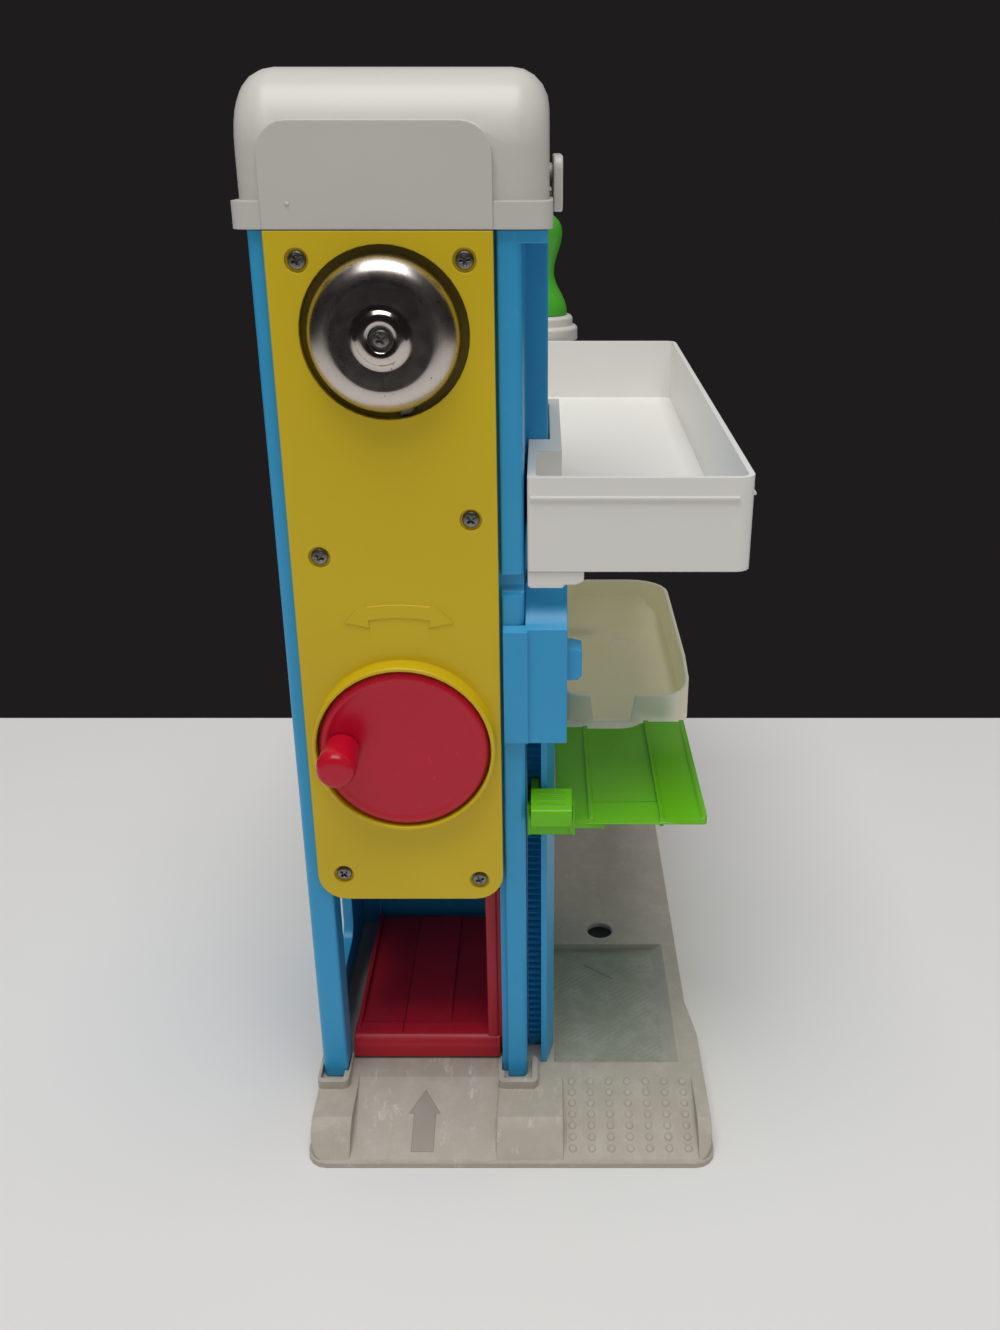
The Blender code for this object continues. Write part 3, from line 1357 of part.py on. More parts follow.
def build_turn_post():
    # A waisted post: ball head, then half a cosine wave down to the waist and another out to the foot.
    low = column_top + fit + cap_height + cap_step_height + fit
    centre = post_height - post_head
    outline = [(0, post_height)]
    for step in range(1, 6):
        angle = math.radians(90 - 18 * step)
        outline.append((post_head * math.cos(angle), centre + post_head * math.sin(angle)))
    for start, end, top, bottom in (
        (post_head, post_waist, centre, post_waist_height),
        (post_waist, post_foot, post_waist_height, post_foot_height),
    ):
        for step in range(1, 7):
            share = (1 - math.cos(math.pi * step / 6)) / 2
            outline.append((start + (end - start) * share, top + (bottom - top) * step / 6))
    outline += [(post_foot, 0), (post_spigot, 0), (post_spigot, -cap_height), (0, -cap_height)]
    return turned("turn_post", "Z", outline, (column_x, column_y, low), post_green_plastic, 28)


# The striker's pivot sits so that its hammer hangs inside the bell's rim.
striker_pivot_x = panel_middle
striker_front = panel_back + 2.5 * running_gap
striker_back = striker_front + striker_thickness
bell_rim_y = panel_front + 1.7 * mm
bell_hub_front = bell_rim_y - 11.8 * mm
bell_post_tip = bell_rim_y - 10.7 * mm + fit

build_base()
build_left_frame()
build_right_frame()
build_back_wall()
build_front_panel()
build_screws()
build_bell()
build_crank()
build_drum()
build_cord()
build_pulley()
build_striker()
build_elevator()
build_roof()
build_roof_sign()
build_upper_deck()
build_deck_bracket()
build_lift_rail()
build_rail_housing()
build_lift_platform()
build_lift_release()
build_mid_tray()
build_rear_column()
build_post_cap()
build_turn_post()
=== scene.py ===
# Toy garage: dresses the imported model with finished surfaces, and sets its table, lamps and camera.
# Lengths are metres in the model's frame: x right, y away from the crank side, z up.

import json
import math

import bmesh
import bpy
import numpy as np
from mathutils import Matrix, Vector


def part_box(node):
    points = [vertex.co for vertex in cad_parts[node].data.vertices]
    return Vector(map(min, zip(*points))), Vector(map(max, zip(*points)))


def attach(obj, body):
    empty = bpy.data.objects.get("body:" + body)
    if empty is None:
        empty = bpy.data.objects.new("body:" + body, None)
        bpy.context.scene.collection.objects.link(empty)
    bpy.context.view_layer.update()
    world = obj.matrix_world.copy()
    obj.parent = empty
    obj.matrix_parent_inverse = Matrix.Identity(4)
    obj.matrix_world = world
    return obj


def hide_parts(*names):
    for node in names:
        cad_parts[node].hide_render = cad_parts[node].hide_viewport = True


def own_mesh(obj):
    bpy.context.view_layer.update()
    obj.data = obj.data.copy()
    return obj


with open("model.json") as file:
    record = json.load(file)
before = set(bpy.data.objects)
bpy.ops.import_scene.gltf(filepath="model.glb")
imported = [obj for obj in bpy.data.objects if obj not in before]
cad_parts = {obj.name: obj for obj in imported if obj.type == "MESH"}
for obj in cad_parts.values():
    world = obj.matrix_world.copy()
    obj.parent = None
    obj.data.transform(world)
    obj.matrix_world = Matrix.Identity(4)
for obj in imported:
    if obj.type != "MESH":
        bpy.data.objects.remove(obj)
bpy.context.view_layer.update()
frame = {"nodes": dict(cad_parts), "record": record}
mm = 0.001
bodyOf = {node: body for body, nodes in frame["record"]["behaviour"]["bodies"].items() for node in nodes}
print("frame loaded:", len(bodyOf), "nodes")


def linearColour(hexText):
    # sRGB to linear: the low end is divided by 12.92, the rest follows the 2.4 power.
    channels = np.array([int(hexText[i:i + 2], 16) for i in (0, 2, 4)]) / 255
    values = np.where(channels <= 0.04045, channels / 12.92, ((channels + 0.055) / 1.055) ** 2.4)
    return (*[float(value) for value in values], 1.0)


def addNode(tree, kind, settings=None, inputs=None):
    # One node, its settings, and its inputs: a socket is linked and a plain value is set.
    node = tree.nodes.new(kind)
    for name, value in (settings or {}).items():
        setattr(node, name, value)
    for name, value in (inputs or {}).items():
        if isinstance(value, bpy.types.NodeSocket):
            tree.links.new(value, node.inputs[name])
        else:
            node.inputs[name].default_value = value
    return node


def nodeBox(name):
    low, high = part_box(name)
    return np.array(low, float), np.array(high, float)


def surfaceMesh(name, grid, wrapRows=False, wrapColumns=False):
    # A grid of points becomes quads between neighbouring rows and columns; either way may close on itself.
    rows, columns = grid.shape[:2]
    index = np.arange(rows * columns).reshape(rows, columns)
    if wrapRows:
        index = np.vstack([index, index[:1]])
    if wrapColumns:
        index = np.hstack([index, index[:, :1]])
    quads = np.stack([index[:-1, :-1], index[1:, :-1], index[1:, 1:], index[:-1, 1:]], axis=-1).reshape(-1, 4)
    mesh = bpy.data.meshes.new(name)
    mesh.from_pydata(grid.reshape(-1, 3).tolist(), [], quads.tolist())
    form = bmesh.new()
    form.from_mesh(mesh)
    bmesh.ops.remove_doubles(form, verts=form.verts, dist=2e-7)
    bmesh.ops.dissolve_degenerate(form, edges=form.edges, dist=1e-8)
    holes = [edge for edge in form.edges if edge.is_boundary]
    if holes:
        bmesh.ops.holes_fill(form, edges=holes, sides=0)
    bmesh.ops.recalc_face_normals(form, faces=form.faces)
    form.to_mesh(mesh)
    form.free()
    return mesh


def joinMeshes(name, meshes):
    # Several closed meshes in one, each kept as it is.
    form = bmesh.new()
    for mesh in meshes:
        form.from_mesh(mesh)
        bpy.data.meshes.remove(mesh)
    joined = bpy.data.meshes.new(name)
    form.to_mesh(joined)
    form.free()
    return joined


def softCorners(points, radii, steps=6):
    # Each corner b gives way to a parabola, (1-t)(1-t)a + 2t(1-t)b + t*t*c, where a and c lie its radius
    # before and after it.
    points = np.array(points, float)
    radii = np.array(radii, float)
    t = np.linspace(0, 1, steps + 1)[:, None]
    shape = []
    for i, (corner, radius) in enumerate(zip(points, radii)):
        if radius <= 0 or i in (0, len(points) - 1):
            shape.append(corner[None])
            continue
        before = points[i - 1] - corner
        after = points[i + 1] - corner
        start = corner + before / np.linalg.norm(before) * radius
        end = corner + after / np.linalg.norm(after) * radius
        shape.append((1 - t) ** 2 * start + 2 * t * (1 - t) * corner + t ** 2 * end)
    return np.vstack(shape)


def turnedMesh(name, profile, centre, axis, steps=96, closed=False):
    # A profile of (radius, height) turned about an axis. The point at angle a is the centre, plus the radius
    # times (cos a, sin a) across the axis, plus the height along it.
    turn = np.linspace(0, 2 * math.pi, steps, endpoint=False)
    radius = profile[:, 0][:, None]
    height = profile[:, 1][:, None] * np.ones_like(turn)
    across, along = radius * np.cos(turn), radius * np.sin(turn)
    order = {"Z": (across, along, height), "Y": (across, -height, along), "X": (height, across, along)}[axis]
    grid = np.stack(order, axis=-1) + np.array(centre, float)
    return surfaceMesh(name, grid, wrapRows=closed, wrapColumns=True)


def addPiece(mesh, finish, body, replaced=(), sharpDeg=38, weighted=True):
    piece = bpy.data.objects.new(mesh.name, mesh)
    bpy.context.scene.collection.objects.link(piece)
    mesh.materials.clear()
    mesh.materials.append(finish)
    mesh.shade_smooth()
    if sharpDeg:
        mesh.set_sharp_from_angle(angle=math.radians(sharpDeg))
    if weighted:
        weigh = piece.modifiers.new("flat faces stay flat", "WEIGHTED_NORMAL")
        weigh.keep_sharp = True
    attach(piece, body)
    if replaced:
        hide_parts(*replaced)
    return piece


def finishedCopy(node, finish, softEdge=0.0, reshape=None, sharpDeg=32):
    # A merged copy of a node: loose triangles joined, flat areas made single faces, then the edges rounded.
    mesh = frame["nodes"][node].data.copy()
    mesh.name = node + "_finished"
    form = bmesh.new()
    form.from_mesh(mesh)
    bmesh.ops.remove_doubles(form, verts=form.verts, dist=2e-6)
    form.to_mesh(mesh)
    form.free()
    if reshape is not None:
        spots = np.empty(3 * len(mesh.vertices), np.float32)
        mesh.vertices.foreach_get("co", spots)
        spots = reshape(spots.reshape(-1, 3).astype(float))
        mesh.vertices.foreach_set("co", spots.astype(np.float32).ravel())
        mesh.update()
    if softEdge:
        form = bmesh.new()
        form.from_mesh(mesh)
        bmesh.ops.dissolve_limit(form, angle_limit=math.radians(0.3), verts=form.verts, edges=form.edges)
        form.to_mesh(mesh)
        form.free()
    piece = addPiece(mesh, finish, bodyOf[node], (node,), sharpDeg, weighted=False)
    if softEdge:
        rounding = piece.modifiers.new("moulded edge", "BEVEL")
        rounding.width = softEdge
        rounding.segments = 2
        rounding.limit_method = "ANGLE"
        rounding.angle_limit = math.radians(30)
        rounding.use_clamp_overlap = True
    weigh = piece.modifiers.new("flat faces stay flat", "WEIGHTED_NORMAL")
    weigh.keep_sharp = True
    return piece


def within(tree, value, middle, half):
    # One where the value lies within half of the middle, nought elsewhere.
    return addNode(tree, "ShaderNodeMath", {"operation": "COMPARE"},
                   {0: value, 1: middle, 2: half}).outputs["Value"]


def times(tree, *factors):
    product = factors[0]
    for factor in factors[1:]:
        product = addNode(tree, "ShaderNodeMath", {"operation": "MULTIPLY"},
                          {0: product, 1: factor}).outputs["Value"]
    return product


def inBox(tree, place, centre, half):
    # One inside a box along the axes, nought outside it.
    spot = addNode(tree, "ShaderNodeSeparateXYZ", None, {"Vector": place})
    return times(tree, *[within(tree, spot.outputs[axis], middle, reach)
                         for axis, middle, reach in zip("XYZ", centre, half)])


def tinted(tree, share, below, hexText):
    return addNode(tree, "ShaderNodeMix", {"data_type": "RGBA"}, {
        "Factor": share, "A": below.outputs["Result"], "B": linearColour(hexText)})


def hatchedFloor(tree, place, body, look):
    # A rectangle tinted darker, partly its own tone and partly painted shade under the platform,
    # whose fine ridges run corner to corner, with one dark scratch across them.
    inside = inBox(tree, place, look["centre"], look["half"])
    turned = addNode(tree, "ShaderNodeMapping", None, {
        "Vector": place, "Rotation": (0, 0, math.radians(look["turnDeg"]))})
    # A wave texture's diagonal bands lie 0.444 / scale apart in the plan.
    ridges = addNode(tree, "ShaderNodeTexWave", {"wave_type": "BANDS", "bands_direction": "DIAGONAL"}, {
        "Vector": turned.outputs["Vector"], "Scale": 0.444 / (look["pitchMm"] * mm), "Distortion": 0.5,
        "Detail": 1.0})
    broken = addNode(tree, "ShaderNodeTexNoise", None, {"Vector": place, "Scale": 60.0, "Detail": 2.0})
    part = addNode(tree, "ShaderNodeMapRange", None,
                   {"Value": broken.outputs["Fac"], "From Min": 0.4, "From Max": 0.65})
    lines = times(tree, inside, ridges.outputs["Fac"], part.outputs["Result"], look["lineShare"])
    floor = tinted(tree, times(tree, inside, look["share"]), body, look["colour"])
    ridged = tinted(tree, lines, floor, look["lineColour"])
    along = addNode(tree, "ShaderNodeMapping", {"vector_type": "TEXTURE"}, {
        "Vector": place, "Location": look["scratchAt"], "Rotation": (0, 0, look["scratchTurn"])})
    local = addNode(tree, "ShaderNodeSeparateXYZ", None, {"Vector": along.outputs["Vector"]})
    scratch = times(tree, within(tree, local.outputs["X"], 0.0, look["scratchHalf"][0]),
                    within(tree, local.outputs["Y"], 0.0, look["scratchHalf"][1]), inside,
                    look["scratchShare"])
    return tinted(tree, scratch, ridged, look["scratchColour"])


def scuffs(tree, place, body, look):
    # Chalky rubs from wheels: short streaks, densest round one spot and fading with distance from it.
    turned = addNode(tree, "ShaderNodeMapping", None, {
        "Vector": place, "Rotation": (0, 0, look["turn"]), "Scale": (1.0, look["squeeze"], 1.0)})
    streaks = addNode(tree, "ShaderNodeTexNoise", None, {
        "Vector": turned.outputs["Vector"], "Scale": 1 / (look["streakMm"] * mm), "Detail": 5.0,
        "Roughness": 0.75})
    chalk = addNode(tree, "ShaderNodeMapRange", None,
                    {"Value": streaks.outputs["Fac"], "From Min": 0.57, "From Max": 0.68})
    away = addNode(tree, "ShaderNodeVectorMath", {"operation": "DISTANCE"}, {0: place, 1: look["centre"]})
    near = addNode(tree, "ShaderNodeMapRange", None, {
        "Value": away.outputs["Value"], "From Min": look["reach"] * look["core"], "From Max": look["reach"],
        "To Min": look["coreShare"], "To Max": look["farShare"]})
    return tinted(tree, times(tree, chalk.outputs["Result"], near.outputs["Result"]), body, look["colour"])


def paintedShadeWell(tree, place, body, look):
    # Painted shade in a round well: deeper than its rim and within its radius of the axis, which runs along
    # y.
    spot = addNode(tree, "ShaderNodeSeparateXYZ", None, {"Vector": place})
    flat = addNode(tree, "ShaderNodeCombineXYZ", None, {"X": spot.outputs["X"], "Z": spot.outputs["Z"]})
    away = addNode(tree, "ShaderNodeVectorMath", {"operation": "DISTANCE"},
                   {0: flat.outputs["Vector"], 1: look["centre"]})
    inside = addNode(tree, "ShaderNodeMath", {"operation": "LESS_THAN"},
                     {0: away.outputs["Value"], 1: look["radius"]})
    depth = addNode(tree, "ShaderNodeMapRange", None, {
        "Value": spot.outputs["Y"], "From Min": look["rim"], "From Max": look["rim"] + look["fade"],
        "To Max": look["share"]})
    return tinted(tree, times(tree, inside.outputs["Value"], depth.outputs["Result"]), body, look["colour"])


def paintedGlowWall(tree, place, body, look):
    # Painted light: a wall thin enough to let light through is painted paler than the floor behind it.
    spot = addNode(tree, "ShaderNodeSeparateXYZ", None, {"Vector": place})
    share = addNode(tree, "ShaderNodeMapRange", None, {
        "Value": spot.outputs["Y"], "From Min": look["edge"], "From Max": look["edge"] + look["fade"],
        "To Min": look["share"], "To Max": 0.0})
    return tinted(tree, share.outputs["Result"], body, look["colour"])


def plankStepShade(tree, place, body, look):
    # Painted shade in the step beside a plank: a thin dark line along y.
    line = times(tree, inBox(tree, place, look["centre"], look["half"]), look["share"])
    return tinted(tree, line, body, look["colour"])


markMakers = {"hatch": hatchedFloor, "scuffs": scuffs, "well": paintedShadeWell, "wall": paintedGlowWall, "seam": plankStepShade}


def mouldedPlastic(name, look):
    # Injection-moulded plastic: even colour with faint flow clouds, fine hairline scratches, rubbed edges
    # with a painted edge highlight, and a thin film of dust. The mould's grain is nearer 0.1 mm; it is drawn
    # at grainMm so that it shows.
    finish = bpy.data.materials.new(name)
    finish.use_nodes = True
    tree = finish.node_tree
    shader = tree.nodes["Principled BSDF"]
    place = addNode(tree, "ShaderNodeTexCoord").outputs["Object"]
    clouds = addNode(tree, "ShaderNodeTexNoise", None, {
        "Vector": place, "Scale": 1 / (look["cloudMm"] * mm), "Detail": 3.0, "Roughness": 0.55})
    body = addNode(tree, "ShaderNodeMix", {"data_type": "RGBA"}, {
        "Factor": clouds.outputs["Fac"], "A": linearColour(look["colour"]), "B": linearColour(look["shade"])})
    # Hairlines: noise squeezed along one direction, kept only where it crosses a thin band.
    lines = []
    for turn, squeeze in ((0.35, (1.0, 0.04, 0.3)), (-0.8, (0.05, 1.0, 0.35))):
        turned = addNode(tree, "ShaderNodeMapping", None,
                         {"Vector": place, "Rotation": (turn, 0.6 * turn, turn)})
        stretched = addNode(tree, "ShaderNodeMapping", None,
                            {"Vector": turned.outputs["Vector"], "Scale": squeeze})
        hair = addNode(tree, "ShaderNodeTexNoise", None, {
            "Vector": stretched.outputs["Vector"], "Scale": 1 / (look["scratchMm"] * mm), "Detail": 2.0})
        band = addNode(tree, "ShaderNodeMapRange", None, {
            "Value": hair.outputs["Fac"], "From Min": 0.70, "From Max": 0.76})
        lines.append(band.outputs["Result"])
    scratch = addNode(tree, "ShaderNodeMath", {"operation": "MAXIMUM"}, {0: lines[0], 1: lines[1]})
    # Dust settles on faces that look up: the normal's height times a broken-up noise.
    normal = addNode(tree, "ShaderNodeNewGeometry").outputs["Normal"]
    facing = addNode(tree, "ShaderNodeSeparateXYZ", None, {"Vector": normal})
    patches = addNode(tree, "ShaderNodeTexNoise", None, {
        "Vector": place, "Scale": 1 / (look["dustMm"] * mm), "Detail": 6.0, "Roughness": 0.7})
    patch = addNode(tree, "ShaderNodeMapRange", None, {
        "Value": patches.outputs["Fac"], "From Min": 0.46, "From Max": 0.72})
    settled = addNode(tree, "ShaderNodeMapRange", None, {
        "Value": facing.outputs["Z"], "From Min": -0.2, "From Max": 1.0, "To Min": 0.25, "To Max": 1.0})
    dust = addNode(tree, "ShaderNodeMath", {"operation": "MULTIPLY"},
                   {0: patch.outputs["Result"], 1: settled.outputs["Result"]})
    dustShare = addNode(tree, "ShaderNodeMath", {"operation": "MULTIPLY"},
                        {0: dust.outputs["Value"], 1: look["dust"]})
    scratchShare = addNode(tree, "ShaderNodeMath", {"operation": "MULTIPLY"},
                           {0: scratch.outputs["Value"], 1: look["scratch"]})
    # Rubbed edges and painted edge highlight: where the rounded normal leaves the face's own normal the
    # colour is a little paler.
    rounded = addNode(tree, "ShaderNodeBevel", {"samples": 6}, {"Radius": look["edgeMm"] * mm})
    along = addNode(tree, "ShaderNodeVectorMath", {"operation": "DOT_PRODUCT"},
                    {0: rounded.outputs["Normal"], 1: normal})
    edge = addNode(tree, "ShaderNodeMapRange", None, {
        "Value": along.outputs["Value"], "From Min": 0.99, "From Max": 0.72, "To Max": look["edgeWearAndHighlight"]})
    for kind, mark in look.get("marks", {}).items():
        body = markMakers[kind](tree, place, body, mark)
    film = addNode(tree, "ShaderNodeMath", {"operation": "ADD", "use_clamp": True}, {
        0: dustShare.outputs["Value"], 1: scratchShare.outputs["Value"]})
    wearAndEdgeLight = addNode(tree, "ShaderNodeMath", {"operation": "ADD", "use_clamp": True}, {
        0: film.outputs["Value"], 1: edge.outputs["Result"]})
    colour = addNode(tree, "ShaderNodeMix", {"data_type": "RGBA"}, {
        "Factor": wearAndEdgeLight.outputs["Value"], "A": body.outputs["Result"], "B": linearColour(look["wearAndHighlightColour"])})
    grain = addNode(tree, "ShaderNodeTexNoise", None, {
        "Vector": place, "Scale": 1 / (look["grainMm"] * mm), "Detail": 2.0})
    relief = addNode(tree, "ShaderNodeMath", {"operation": "SUBTRACT"},
                     {0: grain.outputs["Fac"], 1: scratchShare.outputs["Value"]})
    bump = addNode(tree, "ShaderNodeBump", None, {
        "Strength": look["relief"], "Distance": 0.08 * mm, "Height": relief.outputs["Value"],
        "Normal": rounded.outputs["Normal"]})
    gloss = addNode(tree, "ShaderNodeMapRange", None, {
        "Value": wearAndEdgeLight.outputs["Value"], "To Min": look["roughness"],
        "To Max": min(1.0, look["roughness"] + 0.35)})
    tree.links.new(colour.outputs["Result"], shader.inputs["Base Color"])
    tree.links.new(gloss.outputs["Result"], shader.inputs["Roughness"])
    tree.links.new(bump.outputs["Normal"], shader.inputs["Normal"])
    shader.inputs["IOR"].default_value = look["ior"]
    if look.get("glow"):
        # Unpigmented polypropylene lets light soak a few millimetres in.
        shader.inputs["Subsurface Weight"].default_value = look["glow"]
        shader.inputs["Subsurface Radius"].default_value = (6 * mm, 5.4 * mm, 4 * mm)
        shader.inputs["Subsurface Scale"].default_value = 1.0
    return finish


commonLook = {
    "cloudMm": 45, "scratchMm": 2.6, "dustMm": 14, "grainMm": 1.1, "edgeMm": 0.7,
    "roughness": 0.34, "ior": 1.46, "dust": 0.04, "scratch": 0.05, "edgeWearAndHighlight": 0.14, "relief": 0.12,
    "wearAndHighlightColour": "e6e4de",
}
baseLow = nodeBox("base")[0]


def planPoint(x, y, z):
    # Plan sizes run from the base's left front corner, in millimetres.
    return baseLow[0] + x * mm, baseLow[1] + y * mm, z * mm


bellLow, bellHigh = nodeBox("bell")
# The tower's face, in plan millimetres, and the panel's front, which lies in it.
faceMm = 37.8
panelFront = float(planPoint(0, faceMm, 0)[1])
# The recess floor's darker, greener tint is partly its own tone and partly painted shade from the platform
# above.
hatchMark = {
    "centre": [float(v) for v in planPoint(137.6, 96.5, 11)], "half": (26.8 * mm, 46 * mm, 1.2 * mm),
    "colour": "989c8c", "share": 0.85,
    "pitchMm": 2.6, "turnDeg": 96, "lineColour": "b0b3a5", "lineShare": 0.55,
    "scratchAt": [float(v) for v in planPoint(135.0, 123.7, 11)], "scratchTurn": math.atan2(-11.7, 14.9),
    "scratchHalf": (19 * mm / 2, 0.3 * mm), "scratchColour": "55584e", "scratchShare": 0.8,
}
scuffMark = {
    "centre": [float(v) for v in planPoint(60, 22, 9)], "reach": 75 * mm, "core": 0.3, "coreShare": 0.7,
    "farShare": 0.1, "streakMm": 7, "turn": 0.6, "squeeze": 0.35, "colour": "dfddd6",
}
# Painted shade: the bell's well below the panel's face is painted dark brown, standing in for the shade in
# it.
wellShadeMark = {
    "centre": (float(bellLow[0] + bellHigh[0]) / 2, 0.0, float(bellLow[2] + bellHigh[2]) / 2),
    "radius": 30.9 * mm, "rim": panelFront + 0.4 * mm, "fade": 2.5 * mm, "share": 0.72, "colour": "4a3a08",
}
# Painted light: the tray's near wall is painted paler, standing in for light let through it.
wallGlowMark = {"edge": float(planPoint(0, 153.6, 0)[1]), "fade": 1.5 * mm, "share": 0.9, "colour": "fbf9e0"}
# Painted shade: a dark line in the lift's floor where one plank steps down to the next.
stepShadeMark = {
    "centre": [float(v) for v in planPoint(38.3, 103.0, 26.3)], "half": (0.35 * mm, 46 * mm, 1.5 * mm),
    "share": 0.7, "colour": "3a0810",
}
looks = {
    # ABS, injection moulded and pigmented: blue for the frames, rail and column, yellow for the panel, and
    # red for the crank.
    "blueAbs": {"colour": "35a6dc", "shade": "2f9ed4", "roughness": 0.33, "wearAndHighlightColour": "9cc9dd"},
    "yellowAbs": {"colour": "dfc212", "shade": "d8b90e", "roughness": 0.36, "wearAndHighlightColour": "ecd968",
                  "dust": 0.03, "marks": {"well": wellShadeMark}},
    "redAbs": {"colour": "cb0f2e", "shade": "c00c29", "roughness": 0.26, "wearAndHighlightColour": "d4727c",
               "dust": 0.02},
    # The lift's red ABS is matter than the crank's, since cars rub its floor.
    "darkRedAbs": {"colour": "c4192f", "shade": "b41429", "roughness": 0.38, "wearAndHighlightColour": "c8787f",
                   "dust": 0.05, "marks": {"seam": stepShadeMark}},
    # Lime ABS for the platform and its grip, green ABS for the post.
    "limeAbs": {"colour": "74d004", "shade": "6cc603", "roughness": 0.3, "wearAndHighlightColour": "b7e06c",
                "dust": 0.02},
    "greenAbs": {"colour": "4fb032", "shade": "46a42b", "roughness": 0.28, "wearAndHighlightColour": "a0cf8c",
                 "dust": 0.03},
    # White ABS for the deck, and a darker copy of it, standing in as painted shade, for the roof, the sign
    # and the cap.
    "whiteAbs": {"colour": "f0eee9", "shade": "eae8e2", "roughness": 0.36, "wearAndHighlightColour": "f5f3ee",
                 "dust": 0.06},
    # Its edges are paler still, mostly as painted edge highlight.
    "shadedWhiteAbs": {"colour": "d5d1cb", "shade": "cecac3", "roughness": 0.34, "wearAndHighlightColour": "efece6",
                     "dust": 0.05, "edgeWearAndHighlight": 0.35},
    # Polypropylene copolymer, moulded with a fine grain: dusty, and scuffed where wheels roll.
    "greyPolypropylene": {
        "colour": "bdb4a7", "shade": "b3aa9d", "roughness": 0.5, "wearAndHighlightColour": "ddd9d0", "dust": 0.26,
        "dustMm": 9, "scratch": 0.2, "relief": 0.25, "ior": 1.45, "edgeWearAndHighlight": 0.3,
        "marks": {"hatch": hatchMark, "scuffs": scuffMark},
    },
    # Unpigmented polypropylene, which lets light through.
    "frostedPolypropylene": {
        "colour": "faf0cf", "shade": "f3e7c3", "roughness": 0.45, "wearAndHighlightColour": "f8f3e4", "glow": 0.85,
        "ior": 1.45, "marks": {"wall": wallGlowMark},
    },
    # The base's polypropylene where its grain is rubbed smooth.
    "rubbedPolypropylene": {
        "colour": "a49c91", "shade": "9a9287", "roughness": 0.42, "wearAndHighlightColour": "cfccc4", "dust": 0.16,
        "scratch": 0.1, "ior": 1.45,
    },
    # Acetal, the slippery plastic of drum and pulley.
    "acetal": {"colour": "dedcd2", "shade": "d6d4ca", "roughness": 0.42, "ior": 1.48},
}
finishes = {name: mouldedPlastic(name, {**commonLook, **look}) for name, look in looks.items()}


def platedMetal(name, look):
    # Plated steel: a mirror coat with finger smears, fine polishing marks and a few specks.
    finish = bpy.data.materials.new(name)
    finish.use_nodes = True
    tree = finish.node_tree
    shader = tree.nodes["Principled BSDF"]
    place = addNode(tree, "ShaderNodeTexCoord").outputs["Object"]
    smears = addNode(tree, "ShaderNodeTexNoise", None, {
        "Vector": place, "Scale": 1 / (look["smearMm"] * mm), "Detail": 4.0, "Roughness": 0.6,
        "Distortion": 0.6})
    specks = addNode(tree, "ShaderNodeTexNoise", None,
                     {"Vector": place, "Scale": 1 / (look["speckMm"] * mm), "Detail": 1.0})
    speck = addNode(tree, "ShaderNodeMapRange", None,
                    {"Value": specks.outputs["Fac"], "From Min": 0.72, "From Max": 0.78})
    colour = addNode(tree, "ShaderNodeMix", {"data_type": "RGBA"}, {
        "Factor": speck.outputs["Result"], "A": linearColour(look["colour"]),
        "B": linearColour(look["speckColour"])})
    gloss = addNode(tree, "ShaderNodeMapRange", None, {
        "Value": smears.outputs["Fac"], "From Min": 0.3, "From Max": 0.75,
        "To Min": look["roughness"], "To Max": look["smearRoughness"]})
    rounded = addNode(tree, "ShaderNodeBevel", {"samples": 4}, {"Radius": 0.25 * mm})
    bump = addNode(tree, "ShaderNodeBump", None, {
        "Strength": look["relief"], "Distance": 0.05 * mm, "Height": smears.outputs["Fac"],
        "Normal": rounded.outputs["Normal"]})
    # The pressed shoulder of a dome is rougher than its flat middle. It grows rougher between two distances
    # from the dome's axis, which runs along y.
    spot = addNode(tree, "ShaderNodeSeparateXYZ", None, {"Vector": place})
    flat = addNode(tree, "ShaderNodeCombineXYZ", None, {"X": spot.outputs["X"], "Z": spot.outputs["Z"]})
    away = addNode(tree, "ShaderNodeVectorMath", {"operation": "DISTANCE"},
                   {0: flat.outputs["Vector"], 1: look["middle"]})
    shoulder = addNode(tree, "ShaderNodeMapRange", None, {
        "Value": away.outputs["Value"], "From Min": look["shoulder"][0], "From Max": look["shoulder"][1],
        "To Max": look["shoulderRoughness"]})
    total = addNode(tree, "ShaderNodeMath", {"operation": "ADD"},
                    {0: gloss.outputs["Result"], 1: shoulder.outputs["Result"]})
    tree.links.new(colour.outputs["Result"], shader.inputs["Base Color"])
    tree.links.new(total.outputs["Value"], shader.inputs["Roughness"])
    tree.links.new(bump.outputs["Normal"], shader.inputs["Normal"])
    shader.inputs["Metallic"].default_value = 1.0
    return finish


# Bright nickel on a pressed steel dome, and dull zinc on screws, pins and wire.
finishes["nickelPlate"] = platedMetal("nickelPlate", {
    "colour": "cfc6bf", "speckColour": "4a3f38", "smearMm": 5, "speckMm": 1.0, "roughness": 0.13,
    "smearRoughness": 0.19, "relief": 0.05, "middle": wellShadeMark["centre"],
    "shoulder": (17.8 * mm, 20.5 * mm), "shoulderRoughness": 0.13})
finishes["zincPlate"] = platedMetal("zincPlate", {
    "colour": "8d8c88", "speckColour": "3a3836", "smearMm": 2, "speckMm": 0.9, "roughness": 0.32,
    "smearRoughness": 0.5, "relief": 0.2, "middle": (0.0, 0.0, 0.0), "shoulder": (0.0, 1.0),
    "shoulderRoughness": 0.0})


